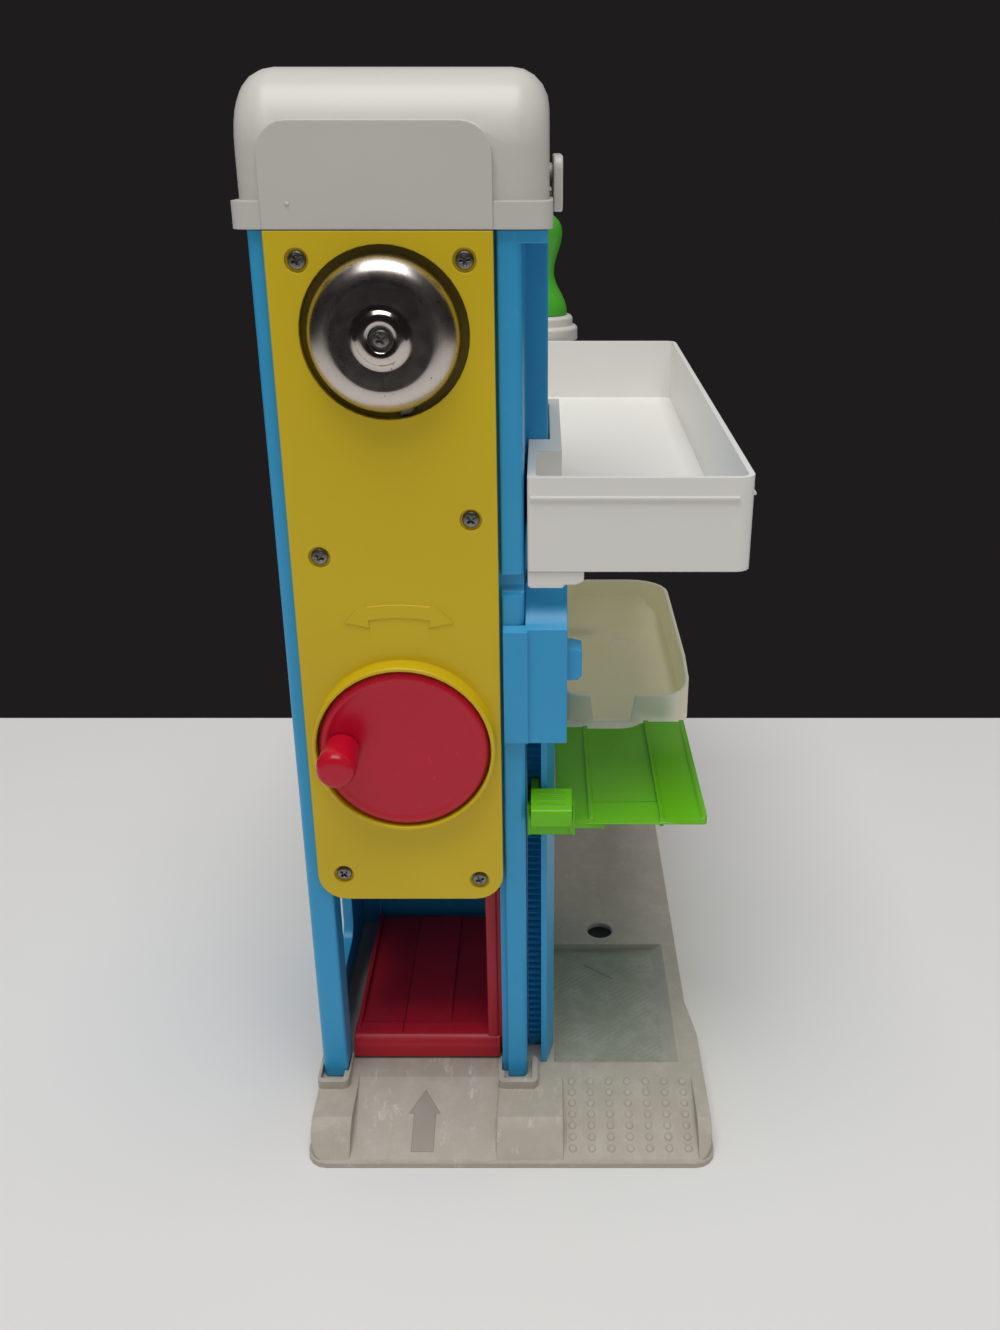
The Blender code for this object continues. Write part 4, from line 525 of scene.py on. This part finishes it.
def braidedCord(name):
    # Braided nylon: pale matt strands with dark gaps between them. They cross about every millimetre on such
    # a cord, and are drawn about 2 mm apart so that they show.
    finish = bpy.data.materials.new(name)
    finish.use_nodes = True
    tree = finish.node_tree
    shader = tree.nodes["Principled BSDF"]
    place = addNode(tree, "ShaderNodeTexCoord").outputs["Object"]
    waves = []
    for direction in ("DIAGONAL", "Z"):
        wave = addNode(tree, "ShaderNodeTexWave", {"wave_type": "BANDS", "bands_direction": direction},
                       {"Vector": place, "Scale": 1 / (6 * mm), "Distortion": 0.4})
        waves.append(wave.outputs["Fac"])
    strands = addNode(tree, "ShaderNodeMath", {"operation": "MAXIMUM"}, {0: waves[0], 1: waves[1]})
    colour = addNode(tree, "ShaderNodeMix", {"data_type": "RGBA"}, {
        "Factor": strands.outputs["Value"], "A": linearColour("a8a294"), "B": linearColour("ebe8de")})
    bump = addNode(tree, "ShaderNodeBump", None,
                   {"Strength": 0.6, "Distance": 0.1 * mm, "Height": strands.outputs["Value"]})
    tree.links.new(colour.outputs["Result"], shader.inputs["Base Color"])
    tree.links.new(bump.outputs["Normal"], shader.inputs["Normal"])
    shader.inputs["Roughness"].default_value = 0.8
    return finish


finishes["braidedNylon"] = braidedCord("braidedNylon")
print("finishes made:", len(finishes))


# Each plain node's finish, and the width of its rounded edges in millimetres.
plainNodes = {
    "base": ("greyPolypropylene", 0.5), "left_frame": ("blueAbs", 0.5), "right_frame": ("blueAbs", 0.5),
    "back_wall": ("blueAbs", 0.4), "lift_rail": ("blueAbs", 0.0), "rail_housing": ("blueAbs", 0.6),
    "rear_column": ("blueAbs", 0.0), "elevator": ("darkRedAbs", 0.5), "roof": ("shadedWhiteAbs", 0.5),
    "roof_sign": ("shadedWhiteAbs", 0.6), "upper_deck": ("whiteAbs", 0.5), "deck_bracket": ("whiteAbs", 0.5),
    "mid_tray": ("frostedPolypropylene", 0.4), "lift_platform": ("limeAbs", 0.0),
    "lift_release": ("limeAbs", 0.3), "cord_drum": ("acetal", 0.0), "top_pulley": ("acetal", 0.0),
    "pulley_axle": ("zincPlate", 0.0), "striker": ("zincPlate", 0.0), "release_pin": ("zincPlate", 0.0),
    "knob_pin": ("zincPlate", 0.0), "front_panel": ("yellowAbs", 0.35),
}
middleX = (nodeBox("cord_drum")[0][0] + nodeBox("cord_drum")[1][0]) / 2

ridgeLook = {"top": 149 * mm, "clear": 0.1 * mm, "nearEdge": 51, "share": 0.5}


def lowRidges(spots):
    # The platform's ridges keep half their height above its top.
    top = ridgeLook["top"]
    nearEdge = planPoint(0, ridgeLook["nearEdge"], 0)[1]
    ridge = (spots[:, 2] > top + ridgeLook["clear"]) & (spots[:, 1] > nearEdge)
    spots[ridge, 2] = top + (spots[ridge, 2] - top) * ridgeLook["share"]
    return spots


reshaped = {"lift_platform": lowRidges}
for node, (finish, edge) in plainNodes.items():
    finishedCopy(node, finishes[finish], softEdge=edge * mm, reshape=reshaped.get(node))
print("plain nodes dressed:", len(plainNodes))


panelArrow = {
    "height": 246.1 * mm, "proud": 0.45 * mm, "sunk": 0.4 * mm, "slope": 0.35 * mm, "blend": 3 * mm,
    "upper": [(-21.6, 0.0), (-13.5, 9.0), (-12.3, 6.9), (-6.0, 7.6), (0.0, 7.8), (6.0, 7.6), (12.3, 6.9),
              (13.5, 8.8), (21.6, 0.0)],
    "lower": [(-21.6, 0.0), (-11.6, -2.7), (-12.0, 0.8), (-6.0, 1.6), (0.0, 1.9), (6.0, 1.6), (12.0, 0.8),
              (11.6, -2.7), (21.6, 0.0)],
}


def makePanelArrow(look):
    # A band of rulings from the lower outline to the upper one; its rim slopes back into the panel.
    upper = np.array(look["upper"]) * mm
    lower = np.array(look["lower"]) * mm
    centre = (upper + lower) / 2
    rings = []
    for lift, shrink in ((look["sunk"], 1.0), (0.0, 1.0), (-look["proud"], 0.0)):
        shift = look["slope"] * (1 - shrink)
        rings.append((lower + (centre - lower) * min(1.0, shift / look["blend"]), lift))
        rings.append((upper + (centre - upper) * min(1.0, shift / look["blend"]), lift))
    order = [rings[0], rings[2], rings[4], rings[5], rings[3], rings[1]]
    rows = [np.stack([line[:, 0] + middleX, np.full(len(line), panelFront + lift),
                      line[:, 1] + look["height"]], axis=-1)
            for line, lift in order]
    return surfaceMesh("panel_arrow", np.array(rows), wrapRows=True)


addPiece(makePanelArrow(panelArrow), finishes["yellowAbs"], "garage", sharpDeg=50)


def screwHead(name, centre, radius, look, angle):
    # A pan head: its dome falls with the square of the radius, and faster at the rim. A cross is pressed in
    # where the smaller of |u| and |v| is within the arm's half width, and its depth fades along the arms.
    # The arm's sizes are shares of the head's radius.
    height = look["height"]
    rings = np.concatenate([np.linspace(0, 0.72, 15), np.linspace(0.76, 1.0, 6)])
    turn = np.linspace(0, 2 * math.pi, 96, endpoint=False)
    r, a = np.meshgrid(rings * radius, turn, indexing="ij")
    dome = height * (1 - look["fall"] * (r / radius) ** 2 - look["fall"] * (r / radius) ** 8)
    u, v = r * np.cos(a - angle), r * np.sin(a - angle)
    arm = np.minimum(np.abs(u), np.abs(v))
    reach = np.maximum(np.abs(u), np.abs(v))
    inArm = np.clip((look["armHalf"] * radius - arm) / (look["armSlope"] * radius), 0, 1)
    fade = np.clip((look["armReach"] * radius - reach) / (look["armFade"] * radius), 0, 1)
    depth = look["crossDepth"] * height * inArm * fade
    front = np.stack([centre[0] + r * np.cos(a), centre[1] - (dome - depth), centre[2] + r * np.sin(a)],
                     axis=-1)
    skirt = np.stack([centre[0] + radius * np.cos(turn), np.full_like(turn, centre[1] + look["skirt"]),
                      centre[2] + radius * np.sin(turn)], axis=-1)
    axisPoint = np.stack([np.full_like(turn, centre[0]), np.full_like(turn, centre[1] + look["skirt"]),
                          np.full_like(turn, centre[2])], axis=-1)
    grid = np.concatenate([front, skirt[None], axisPoint[None]], axis=0)
    return surfaceMesh(name, grid, wrapColumns=True)


screwLook = {
    "height": 1.2 * mm, "fall": 0.35, "skirt": 0.5 * mm, "armHalf": 0.15, "armSlope": 0.05, "armReach": 0.62,
    "armFade": 0.4, "crossDepth": 1.5, "shank": [(0, 0), (1.4, 0), (1.4, -5.4), (0, -5.4)],
}
screwAngles = {"panel_screw_1": 0.35, "panel_screw_2": 1.1, "panel_screw_3": 0.8, "panel_screw_4": 0.1,
               "panel_screw_5": 0.7, "panel_screw_6": 0.4, "bell_screw": 0.55}
for name, angle in screwAngles.items():
    low, high = nodeBox(name)
    centre = (low + high) / 2
    seat = (centre[0], low[1] + screwLook["height"], centre[2])
    head = screwHead(name + "_head", seat, (high[0] - low[0]) / 2, screwLook, angle)
    shank = turnedMesh(name + "_shank", np.array(screwLook["shank"]) * mm, seat, "Y", 24)
    addPiece(joinMeshes(name + "_pressed", [head, shank]), finishes["zincPlate"], "garage",
             (name,), 60)
print("panel screws and arrow made")


# The stub that the mould's gate leaves on the roof's face: a dome 1.6 mm across.
stubLook = {
    "outline": [(0, 0.5), (0.45, 0.42), (0.72, 0.2), (0.8, 0), (0.8, -0.4), (0, -0.4)],
    "place": (18.1, faceMm, 399.8),
}
stubMesh = turnedMesh("gate_stub", np.array(stubLook["outline"]) * mm, planPoint(*stubLook["place"]), "Y", 24)
addPiece(stubMesh, finishes["shadedWhiteAbs"], "garage", sharpDeg=60)

bellLook = {
    "hub": [(4.3, 12.4), (4.6, 13.4), (5.6, 13.8), (7.0, 13.8), (8.6, 13.3), (9.6, 12.2), (11.0, 11.9),
            (18.2, 12.0)],
    "hubSoft": [0, 0.5, 0.7, 0.7, 0.8, 0.8, 0.6, 0],
    "rimRadius": 27.4, "rimHeight": 2.6, "domeStart": 18.2,
    "inside": [(26.5, 0), (26.5, 2.6), (25.8, 6.2), (23.0, 9.4), (18.6, 10.9), (9, 10.8), (1.8, 10.8),
               (1.8, 11.8), (3.9, 11.8)],
    "insideSoft": [0, 1, 2, 2, 2, 1, 0, 0, 0],
}


def makeBell(look):
    # Past the flat face the dome is a quarter of an ellipse: r = start + width sin t, h = rim + depth cos t.
    t = np.linspace(0, math.pi / 2, 28)[1:, None]
    width = look["rimRadius"] - look["domeStart"]
    depth = look["hub"][-1][1] - look["rimHeight"]
    dome = np.hstack([look["domeStart"] + width * np.sin(t), look["rimHeight"] + depth * np.cos(t)])
    return np.vstack([softCorners(look["hub"], look["hubSoft"]), dome, [(look["rimRadius"], 0)],
                      softCorners(look["inside"], look["insideSoft"])]) * mm


bellCentre = ((bellLow[0] + bellHigh[0]) / 2, bellHigh[1], (bellLow[2] + bellHigh[2]) / 2)
bellProfile = makeBell(bellLook)
addPiece(turnedMesh("bell_plated", bellProfile, bellCentre, "Y", 128, closed=True), finishes["nickelPlate"],
         "garage", ("bell",), 50)

crankLook = {
    "face": [(0, 5.2), (29.8, 5.2), (31.8, 5.6), (33.4, 5.2), (34.5, 4.0), (34.8, 2.6), (34.8, 0)],
    "faceSoft": [0, 0.8, 0.8, 0.8, 0.8, 0.8, 0], "thickness": 5.6, "shaftRadius": 4.0,
}
crankLow, crankHigh = nodeBox("crank")
crankCentre = ((crankLow[0] + crankHigh[0]) / 2, crankLow[1] + crankLook["thickness"] * mm,
               (crankLow[2] + crankHigh[2]) / 2)
crankTail = crankHigh[1] - crankCentre[1]
shaft = [(crankLook["shaftRadius"], 0), (crankLook["shaftRadius"], -crankTail / mm), (0, -crankTail / mm)]
crankProfile = np.vstack([
    softCorners(np.array(crankLook["face"]) * mm, np.array(crankLook["faceSoft"]) * mm),
    np.array(shaft) * mm])
addPiece(turnedMesh("crank_moulded", crankProfile, crankCentre, "Y", 160), finishes["redAbs"], "crank_unit",
         ("crank",), 50)

knobLook = {
    "outline": [(0, 21.0), (3.8, 21.0), (6.4, 20.4), (7.6, 18.4), (8.0, 15.4), (7.8, 10.5), (7.2, 1.0),
                (6.9, 0)],
    "soft": [0, 1.2, 1.2, 1.2, 1.4, 2.5, 0.6, 0],
    "bore": [(2.4, 0), (2.4, 14.0), (0, 14.0)],
}
knobLow, knobHigh = nodeBox("crank_knob")
knobCentre = ((knobLow[0] + knobHigh[0]) / 2, knobHigh[1], (knobLow[2] + knobHigh[2]) / 2)
knobProfile = np.vstack([
    softCorners(np.array(knobLook["outline"]) * mm, np.array(knobLook["soft"]) * mm),
    np.array(knobLook["bore"]) * mm])
addPiece(turnedMesh("knob_moulded", knobProfile, knobCentre, "Y", 96), finishes["redAbs"], "knob",
         ("crank_knob",), 50)

capLook = {
    "outline": [(3.2, 15.0), (16.8, 15.0), (18.3, 13.5), (18.3, 8.7), (20.0, 8.7), (21.5, 7.2), (21.5, 0),
                (4.4, 0)],
    "soft": [0, 0.8, 0.8, 0.4, 0.8, 0.8, 0, 0], "bore": 4.4, "boreReach": 4.5,
}
capLow, capHigh = nodeBox("post_cap")
capCentre = ((capLow[0] + capHigh[0]) / 2, (capLow[1] + capHigh[1]) / 2, capLow[2])
capProfile = softCorners(np.array(capLook["outline"]) * mm, np.array(capLook["soft"]) * mm)
# The top runs in to the bore, so that the post's spigot passes through.
capProfile[capProfile[:, 0] < capLook["boreReach"] * mm, 0] = capLook["bore"] * mm
addPiece(turnedMesh("post_cap_moulded", capProfile, capCentre, "Z", 128, closed=True),
         finishes["shadedWhiteAbs"], "garage", ("post_cap",), 50)

postLook = {
    "height": 61.0, "head": 11.4, "waist": 6.3, "waistHeight": 25.7, "foot": 14.5, "footHeight": 2.0,
    "spigot": 4.0, "spigotDepth": 8.7,
}


def makePost(look):
    # A ball for a head. Below it the radius falls to the waist and then grows to the foot, each as half a
    # cosine wave of the height.
    ball = np.linspace(math.pi / 2, 0, 24)
    centre = look["height"] - look["head"]
    head = np.stack([look["head"] * np.cos(ball), centre + look["head"] * np.sin(ball)], axis=-1)
    wave = (1 - np.cos(np.linspace(0, math.pi, 25)[1:])) / 2
    down = np.linspace(0, 1, 25)[1:]
    upper = np.stack([look["head"] + (look["waist"] - look["head"]) * wave,
                      centre + (look["waistHeight"] - centre) * down], -1)
    lower = np.stack([look["waist"] + (look["foot"] - look["waist"]) * wave,
                      look["waistHeight"] + (look["footHeight"] - look["waistHeight"]) * down], -1)
    foot = [(look["foot"], 0), (look["spigot"], 0), (look["spigot"], -look["spigotDepth"]),
            (0, -look["spigotDepth"])]
    return np.vstack([head, upper, lower, foot]) * mm


postLow, postHigh = nodeBox("turn_post")
postCentre = ((postLow[0] + postHigh[0]) / 2, (postLow[1] + postHigh[1]) / 2,
              postHigh[2] - postLook["height"] * mm)
addPiece(turnedMesh("post_moulded", makePost(postLook), postCentre, "Z", 96), finishes["greenAbs"], "post",
         ("turn_post",), 50)
print("bell, crank, knob, cap and post made")


# The lift's cord is drawn tight, from the drum over the pulley to the platform's mast. Both its ends are on
# the object, so it isn't declared as a free cord.
cordLook = {
    "radius": 0.6 * mm, "twist": 2.4 * mm, "strands": 3, "groove": 0.16, "spacing": 0.3 * mm, "around": 15,
    "drumWrap": 15.9 * mm, "pulleyWrap": 7.0 * mm, "turns": 1.1, "lead": 0.55 * mm, "keep": 0.0525,
}


def twistedTube(name, path, look):
    # The path is resampled evenly. At s along it and angle a round it, with n strands, the radius is
    # R(1 - groove(1 - |cos(n(a - 2 pi s / twist) / 2)|)).
    path = np.array(path, float)
    step = np.linalg.norm(np.diff(path, axis=0), axis=1)
    along = np.concatenate([[0], np.cumsum(step)])
    count = max(8, int(along[-1] / look["spacing"]))
    s = np.linspace(0, along[-1], count)
    line = np.stack([np.interp(s, along, path[:, k]) for k in range(3)], axis=-1)
    tangent = np.gradient(line, axis=0)
    tangent /= np.linalg.norm(tangent, axis=1)[:, None]
    helper = np.where(np.abs(tangent[:, :1]) < 0.9, np.array([[1.0, 0, 0]]), np.array([[0, 1.0, 0]]))
    side = np.cross(tangent, helper)
    side /= np.linalg.norm(side, axis=1)[:, None]
    other = np.cross(tangent, side)
    a = np.linspace(0, 2 * math.pi, look["around"], endpoint=False)
    phase = look["strands"] * (a[None] - 2 * math.pi * s[:, None] / look["twist"]) / 2
    r = look["radius"] * (1 - look["groove"] * (1 - np.abs(np.cos(phase))))
    ring = side[:, None] * np.cos(a)[None, :, None] + other[:, None] * np.sin(a)[None, :, None]
    grid = line[:, None] + ring * r[..., None]
    ends = np.repeat(line[[0, -1]][:, None], look["around"], axis=1)
    return surfaceMesh(name, np.concatenate([ends[:1], grid, ends[1:]]), wrapColumns=True)


drumLow, drumHigh = nodeBox("cord_drum")
pulleyLow, pulleyHigh = nodeBox("top_pulley")
turnsLow, turnsHigh = nodeBox("cord_turns")
dropLow, dropHigh = nodeBox("cord_drop")
drumX, drumZ = (drumLow[0] + drumHigh[0]) / 2, (drumLow[2] + drumHigh[2]) / 2
mastX, pulleyZ = (pulleyLow[0] + pulleyHigh[0]) / 2, (pulleyLow[2] + pulleyHigh[2]) / 2
pulleyY = (pulleyLow[1] + pulleyHigh[1]) / 2
cordWrap, pulleyWrap = cordLook["drumWrap"], cordLook["pulleyWrap"]
lean = math.atan((mastX - drumX - cordWrap) / (pulleyZ - drumZ))
dropY = (dropLow[1] + dropHigh[1]) / 2
rise = np.linspace(0, 1, 60)[:-1, None]
drumPoint = np.array([drumX + cordWrap * math.cos(lean), turnsHigh[1] + cordLook["lead"],
                      drumZ - cordWrap * math.sin(lean)])
topPoint = np.array([mastX, pulleyY - pulleyWrap, pulleyZ])
over = np.linspace(0, math.pi, 40)
straight = drumPoint + (topPoint - drumPoint) * rise
arc = np.stack([np.full_like(over, mastX), pulleyY - pulleyWrap * np.cos(over),
                pulleyZ + pulleyWrap * np.sin(over)], -1)
wound = np.linspace(0, 1, 160)
turnAngle = -lean - 2 * math.pi * cordLook["turns"] * wound
woundY = turnsHigh[1] - cordLook["radius"] + (turnsLow[1] - turnsHigh[1] + 2 * cordLook["radius"]) * wound
woundPath = np.stack([drumX + cordWrap * np.cos(turnAngle), woundY, drumZ + cordWrap * np.sin(turnAngle)], -1)
dropPath = np.array([(mastX, dropY, dropHigh[2]), (mastX, dropY, dropLow[2])])
addPiece(twistedTube("cord_front_twisted", np.vstack([straight, arc]), cordLook), finishes["braidedNylon"],
         "garage", ("cord_front",), 0, weighted=False)
addPiece(twistedTube("cord_turns_twisted", woundPath, cordLook), finishes["braidedNylon"], "crank_unit",
         ("cord_turns",), 0, weighted=False)
dropPiece = addPiece(twistedTube("cord_drop_twisted", dropPath, cordLook), finishes["braidedNylon"], "garage",
                     ("cord_drop",), 0, weighted=False)
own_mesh(dropPiece)
print("cord made")


studLook = {"left": 114.6, "right": 175.3, "columns": 7, "first": 6.9, "last": 38.2, "rows": 7,
            "radius": 1.85, "height": 0.75}
rampLook = {"start": 1.0, "low": 2.6, "rise": 12.4 / 39.5}


def makeStuds(look):
    # Low round caps on the sloping ramp: the radius goes with cos(e) and the height with sin(e). Each is its
    # top and five rings of ten points.
    margin = (look["right"] - look["left"]) / look["columns"] / 2
    xs = np.linspace(look["left"] + margin, look["right"] - margin, look["columns"])
    ys = np.linspace(look["first"], look["last"], look["rows"])
    e = np.array([math.pi / 2, 1.15, 0.75, 0.35, 0.0, -0.5])
    a = np.linspace(0, 2 * math.pi, 10, endpoint=False)
    meshes = []
    for y in ys:
        for x in xs:
            r = look["radius"] * np.cos(np.maximum(e, 0))[:, None]
            h = look["height"] * np.sin(e)[:, None] * np.ones_like(a)
            slopeZ = rampLook["low"] + (y - rampLook["start"] + r * np.sin(a)) * rampLook["rise"]
            px, py, pz = planPoint(x + r * np.cos(a), y + r * np.sin(a), slopeZ + h)
            meshes.append(surfaceMesh("stud", np.stack([px, py, pz], axis=-1), wrapColumns=True))
    return joinMeshes("ramp_studs", meshes)


addPiece(makeStuds(studLook), finishes["greyPolypropylene"], "garage", sharpDeg=0,
         weighted=False)

rampArrow = {
    "right": [(50.9, 5.3), (56.6, 5.3), (56.6, 22.9), (58.7, 22.9), (50.9, 34.1)],
    "left": [(50.9, 5.3), (46.0, 5.3), (46.0, 22.9), (43.6, 22.9), (50.9, 34.1)],
    "middle": 50.9, "thick": 0.25 * mm, "sunk": 0.4 * mm, "bevel": 0.06,
}


def makeRampArrow(look):
    # Rulings between the arrow's left and right outlines, as a low slab that follows the ramp.
    right, left = np.array(look["right"]), np.array(look["left"])
    foot, top = (-look["sunk"], 0), (look["thick"], look["bevel"])
    rows = []
    for line, (lift, pull) in ((left, foot), (left, top), (right, top), (right, foot)):
        x = line[:, 0] + (look["middle"] - line[:, 0]) * pull
        z = rampLook["low"] + (line[:, 1] - rampLook["start"]) * rampLook["rise"]
        px, py, pz = planPoint(x, line[:, 1], z)
        rows.append(np.stack([px, py, pz + lift], axis=-1))
    return surfaceMesh("ramp_arrow", np.array(rows), wrapRows=True)


addPiece(makeRampArrow(rampArrow), finishes["rubbedPolypropylene"], "garage", sharpDeg=40)
print("ramp studs and arrow made")


tableLook = {"halfWidth": 1.6, "near": -1.6, "far": 0.245, "depth": 0.03, "gap": 0.05 * mm,
             "colours": ("f0eeec", "ebe9e7")}


def makeTable(look):
    # A flat table top whose far edge lies just behind the toy, a gap's width below the base's underside.
    table = bpy.data.meshes.new("table_top")
    near, far, depth = look["near"], look["far"], look["depth"]
    form = bmesh.new()
    bmesh.ops.create_cube(form, size=1)
    for vertex in form.verts:
        vertex.co.x *= 2 * look["halfWidth"]
        vertex.co.y = (near + far) / 2 + vertex.co.y * (far - near)
        vertex.co.z = -depth / 2 + vertex.co.z * depth - look["gap"]
    form.to_mesh(table)
    form.free()
    top = bpy.data.objects.new("table_top", table)
    bpy.context.scene.collection.objects.link(top)
    # White laminate: matt, with a barely seen cloudiness.
    laminate = bpy.data.materials.new("whiteLaminate")
    laminate.use_nodes = True
    tree = laminate.node_tree
    shader = tree.nodes["Principled BSDF"]
    place = addNode(tree, "ShaderNodeTexCoord").outputs["Object"]
    clouds = addNode(tree, "ShaderNodeTexNoise", None, {"Vector": place, "Scale": 4.0, "Detail": 3.0})
    colour = addNode(tree, "ShaderNodeMix", {"data_type": "RGBA"}, {
        "Factor": clouds.outputs["Fac"], "A": linearColour(look["colours"][0]),
        "B": linearColour(look["colours"][1])})
    tree.links.new(colour.outputs["Result"], shader.inputs["Base Color"])
    shader.inputs["Roughness"].default_value = 0.55
    table.materials.append(laminate)


makeTable(tableLook)

roomLook = {
    "daylight": 0.33, "backdrop": "1f1c1d", "lampPower": 26.0, "lampSize": 1.3,
    "lampPlace": (-0.08, -0.5, 2.1), "lampTurnDeg": (14, -3, 0),
}
room = bpy.data.worlds.new("studio")
bpy.context.scene.world = room
room.use_nodes = True
tree = room.node_tree
ambient = tree.nodes["Background"]
ambient.inputs["Color"].default_value = (1, 1, 1, 1)
ambient.inputs["Strength"].default_value = roomLook["daylight"]
backdrop = addNode(tree, "ShaderNodeBackground", None,
                   {"Color": linearColour(roomLook["backdrop"]), "Strength": 1.0})
rays = addNode(tree, "ShaderNodeLightPath")
direct = addNode(tree, "ShaderNodeMath", {"operation": "ADD", "use_clamp": True}, {
    0: rays.outputs["Is Camera Ray"], 1: rays.outputs["Is Transmission Ray"]})
seen = addNode(tree, "ShaderNodeMath", {"operation": "ADD", "use_clamp": True}, {
    0: direct.outputs["Value"], 1: rays.outputs["Is Glossy Ray"]})
blend = addNode(tree, "ShaderNodeMixShader", None, {
    0: seen.outputs["Value"], 1: ambient.outputs["Background"], 2: backdrop.outputs["Background"]})
tree.links.new(blend.outputs["Shader"], tree.nodes["World Output"].inputs["Surface"])

lamp = bpy.data.lights.new("ceiling softbox", "AREA")
lamp.shape = "SQUARE"
lamp.size = roomLook["lampSize"]
lamp.energy = roomLook["lampPower"]
lampObject = bpy.data.objects.new("ceiling softbox", lamp)
lampObject.location = roomLook["lampPlace"]
lampObject.rotation_euler = [math.radians(turn) for turn in roomLook["lampTurnDeg"]]
bpy.context.scene.collection.objects.link(lampObject)

# The photograph's viewpoint, from the points where its upright, level and receding lines meet.
view = {"place": (0.0119237, -0.6115, 0.420), "tiltDeg": 66.4, "lens": 32.56, "shiftX": -0.0323,
        "sensorMm": 36}
camera = bpy.data.cameras.new("camera")
camera.sensor_fit = "VERTICAL"
camera.sensor_height = view["sensorMm"]
camera.lens = view["lens"]
camera.shift_x = view["shiftX"]
camera.clip_start = 0.02
cameraObject = bpy.data.objects.new("camera", camera)
cameraObject.location = view["place"]
cameraObject.rotation_euler = (math.radians(view["tiltDeg"]), 0, 0)
bpy.context.scene.collection.objects.link(cameraObject)
bpy.context.scene.camera = cameraObject
bpy.context.scene.view_settings.view_transform = "Standard"
print("table, lamps and camera set")
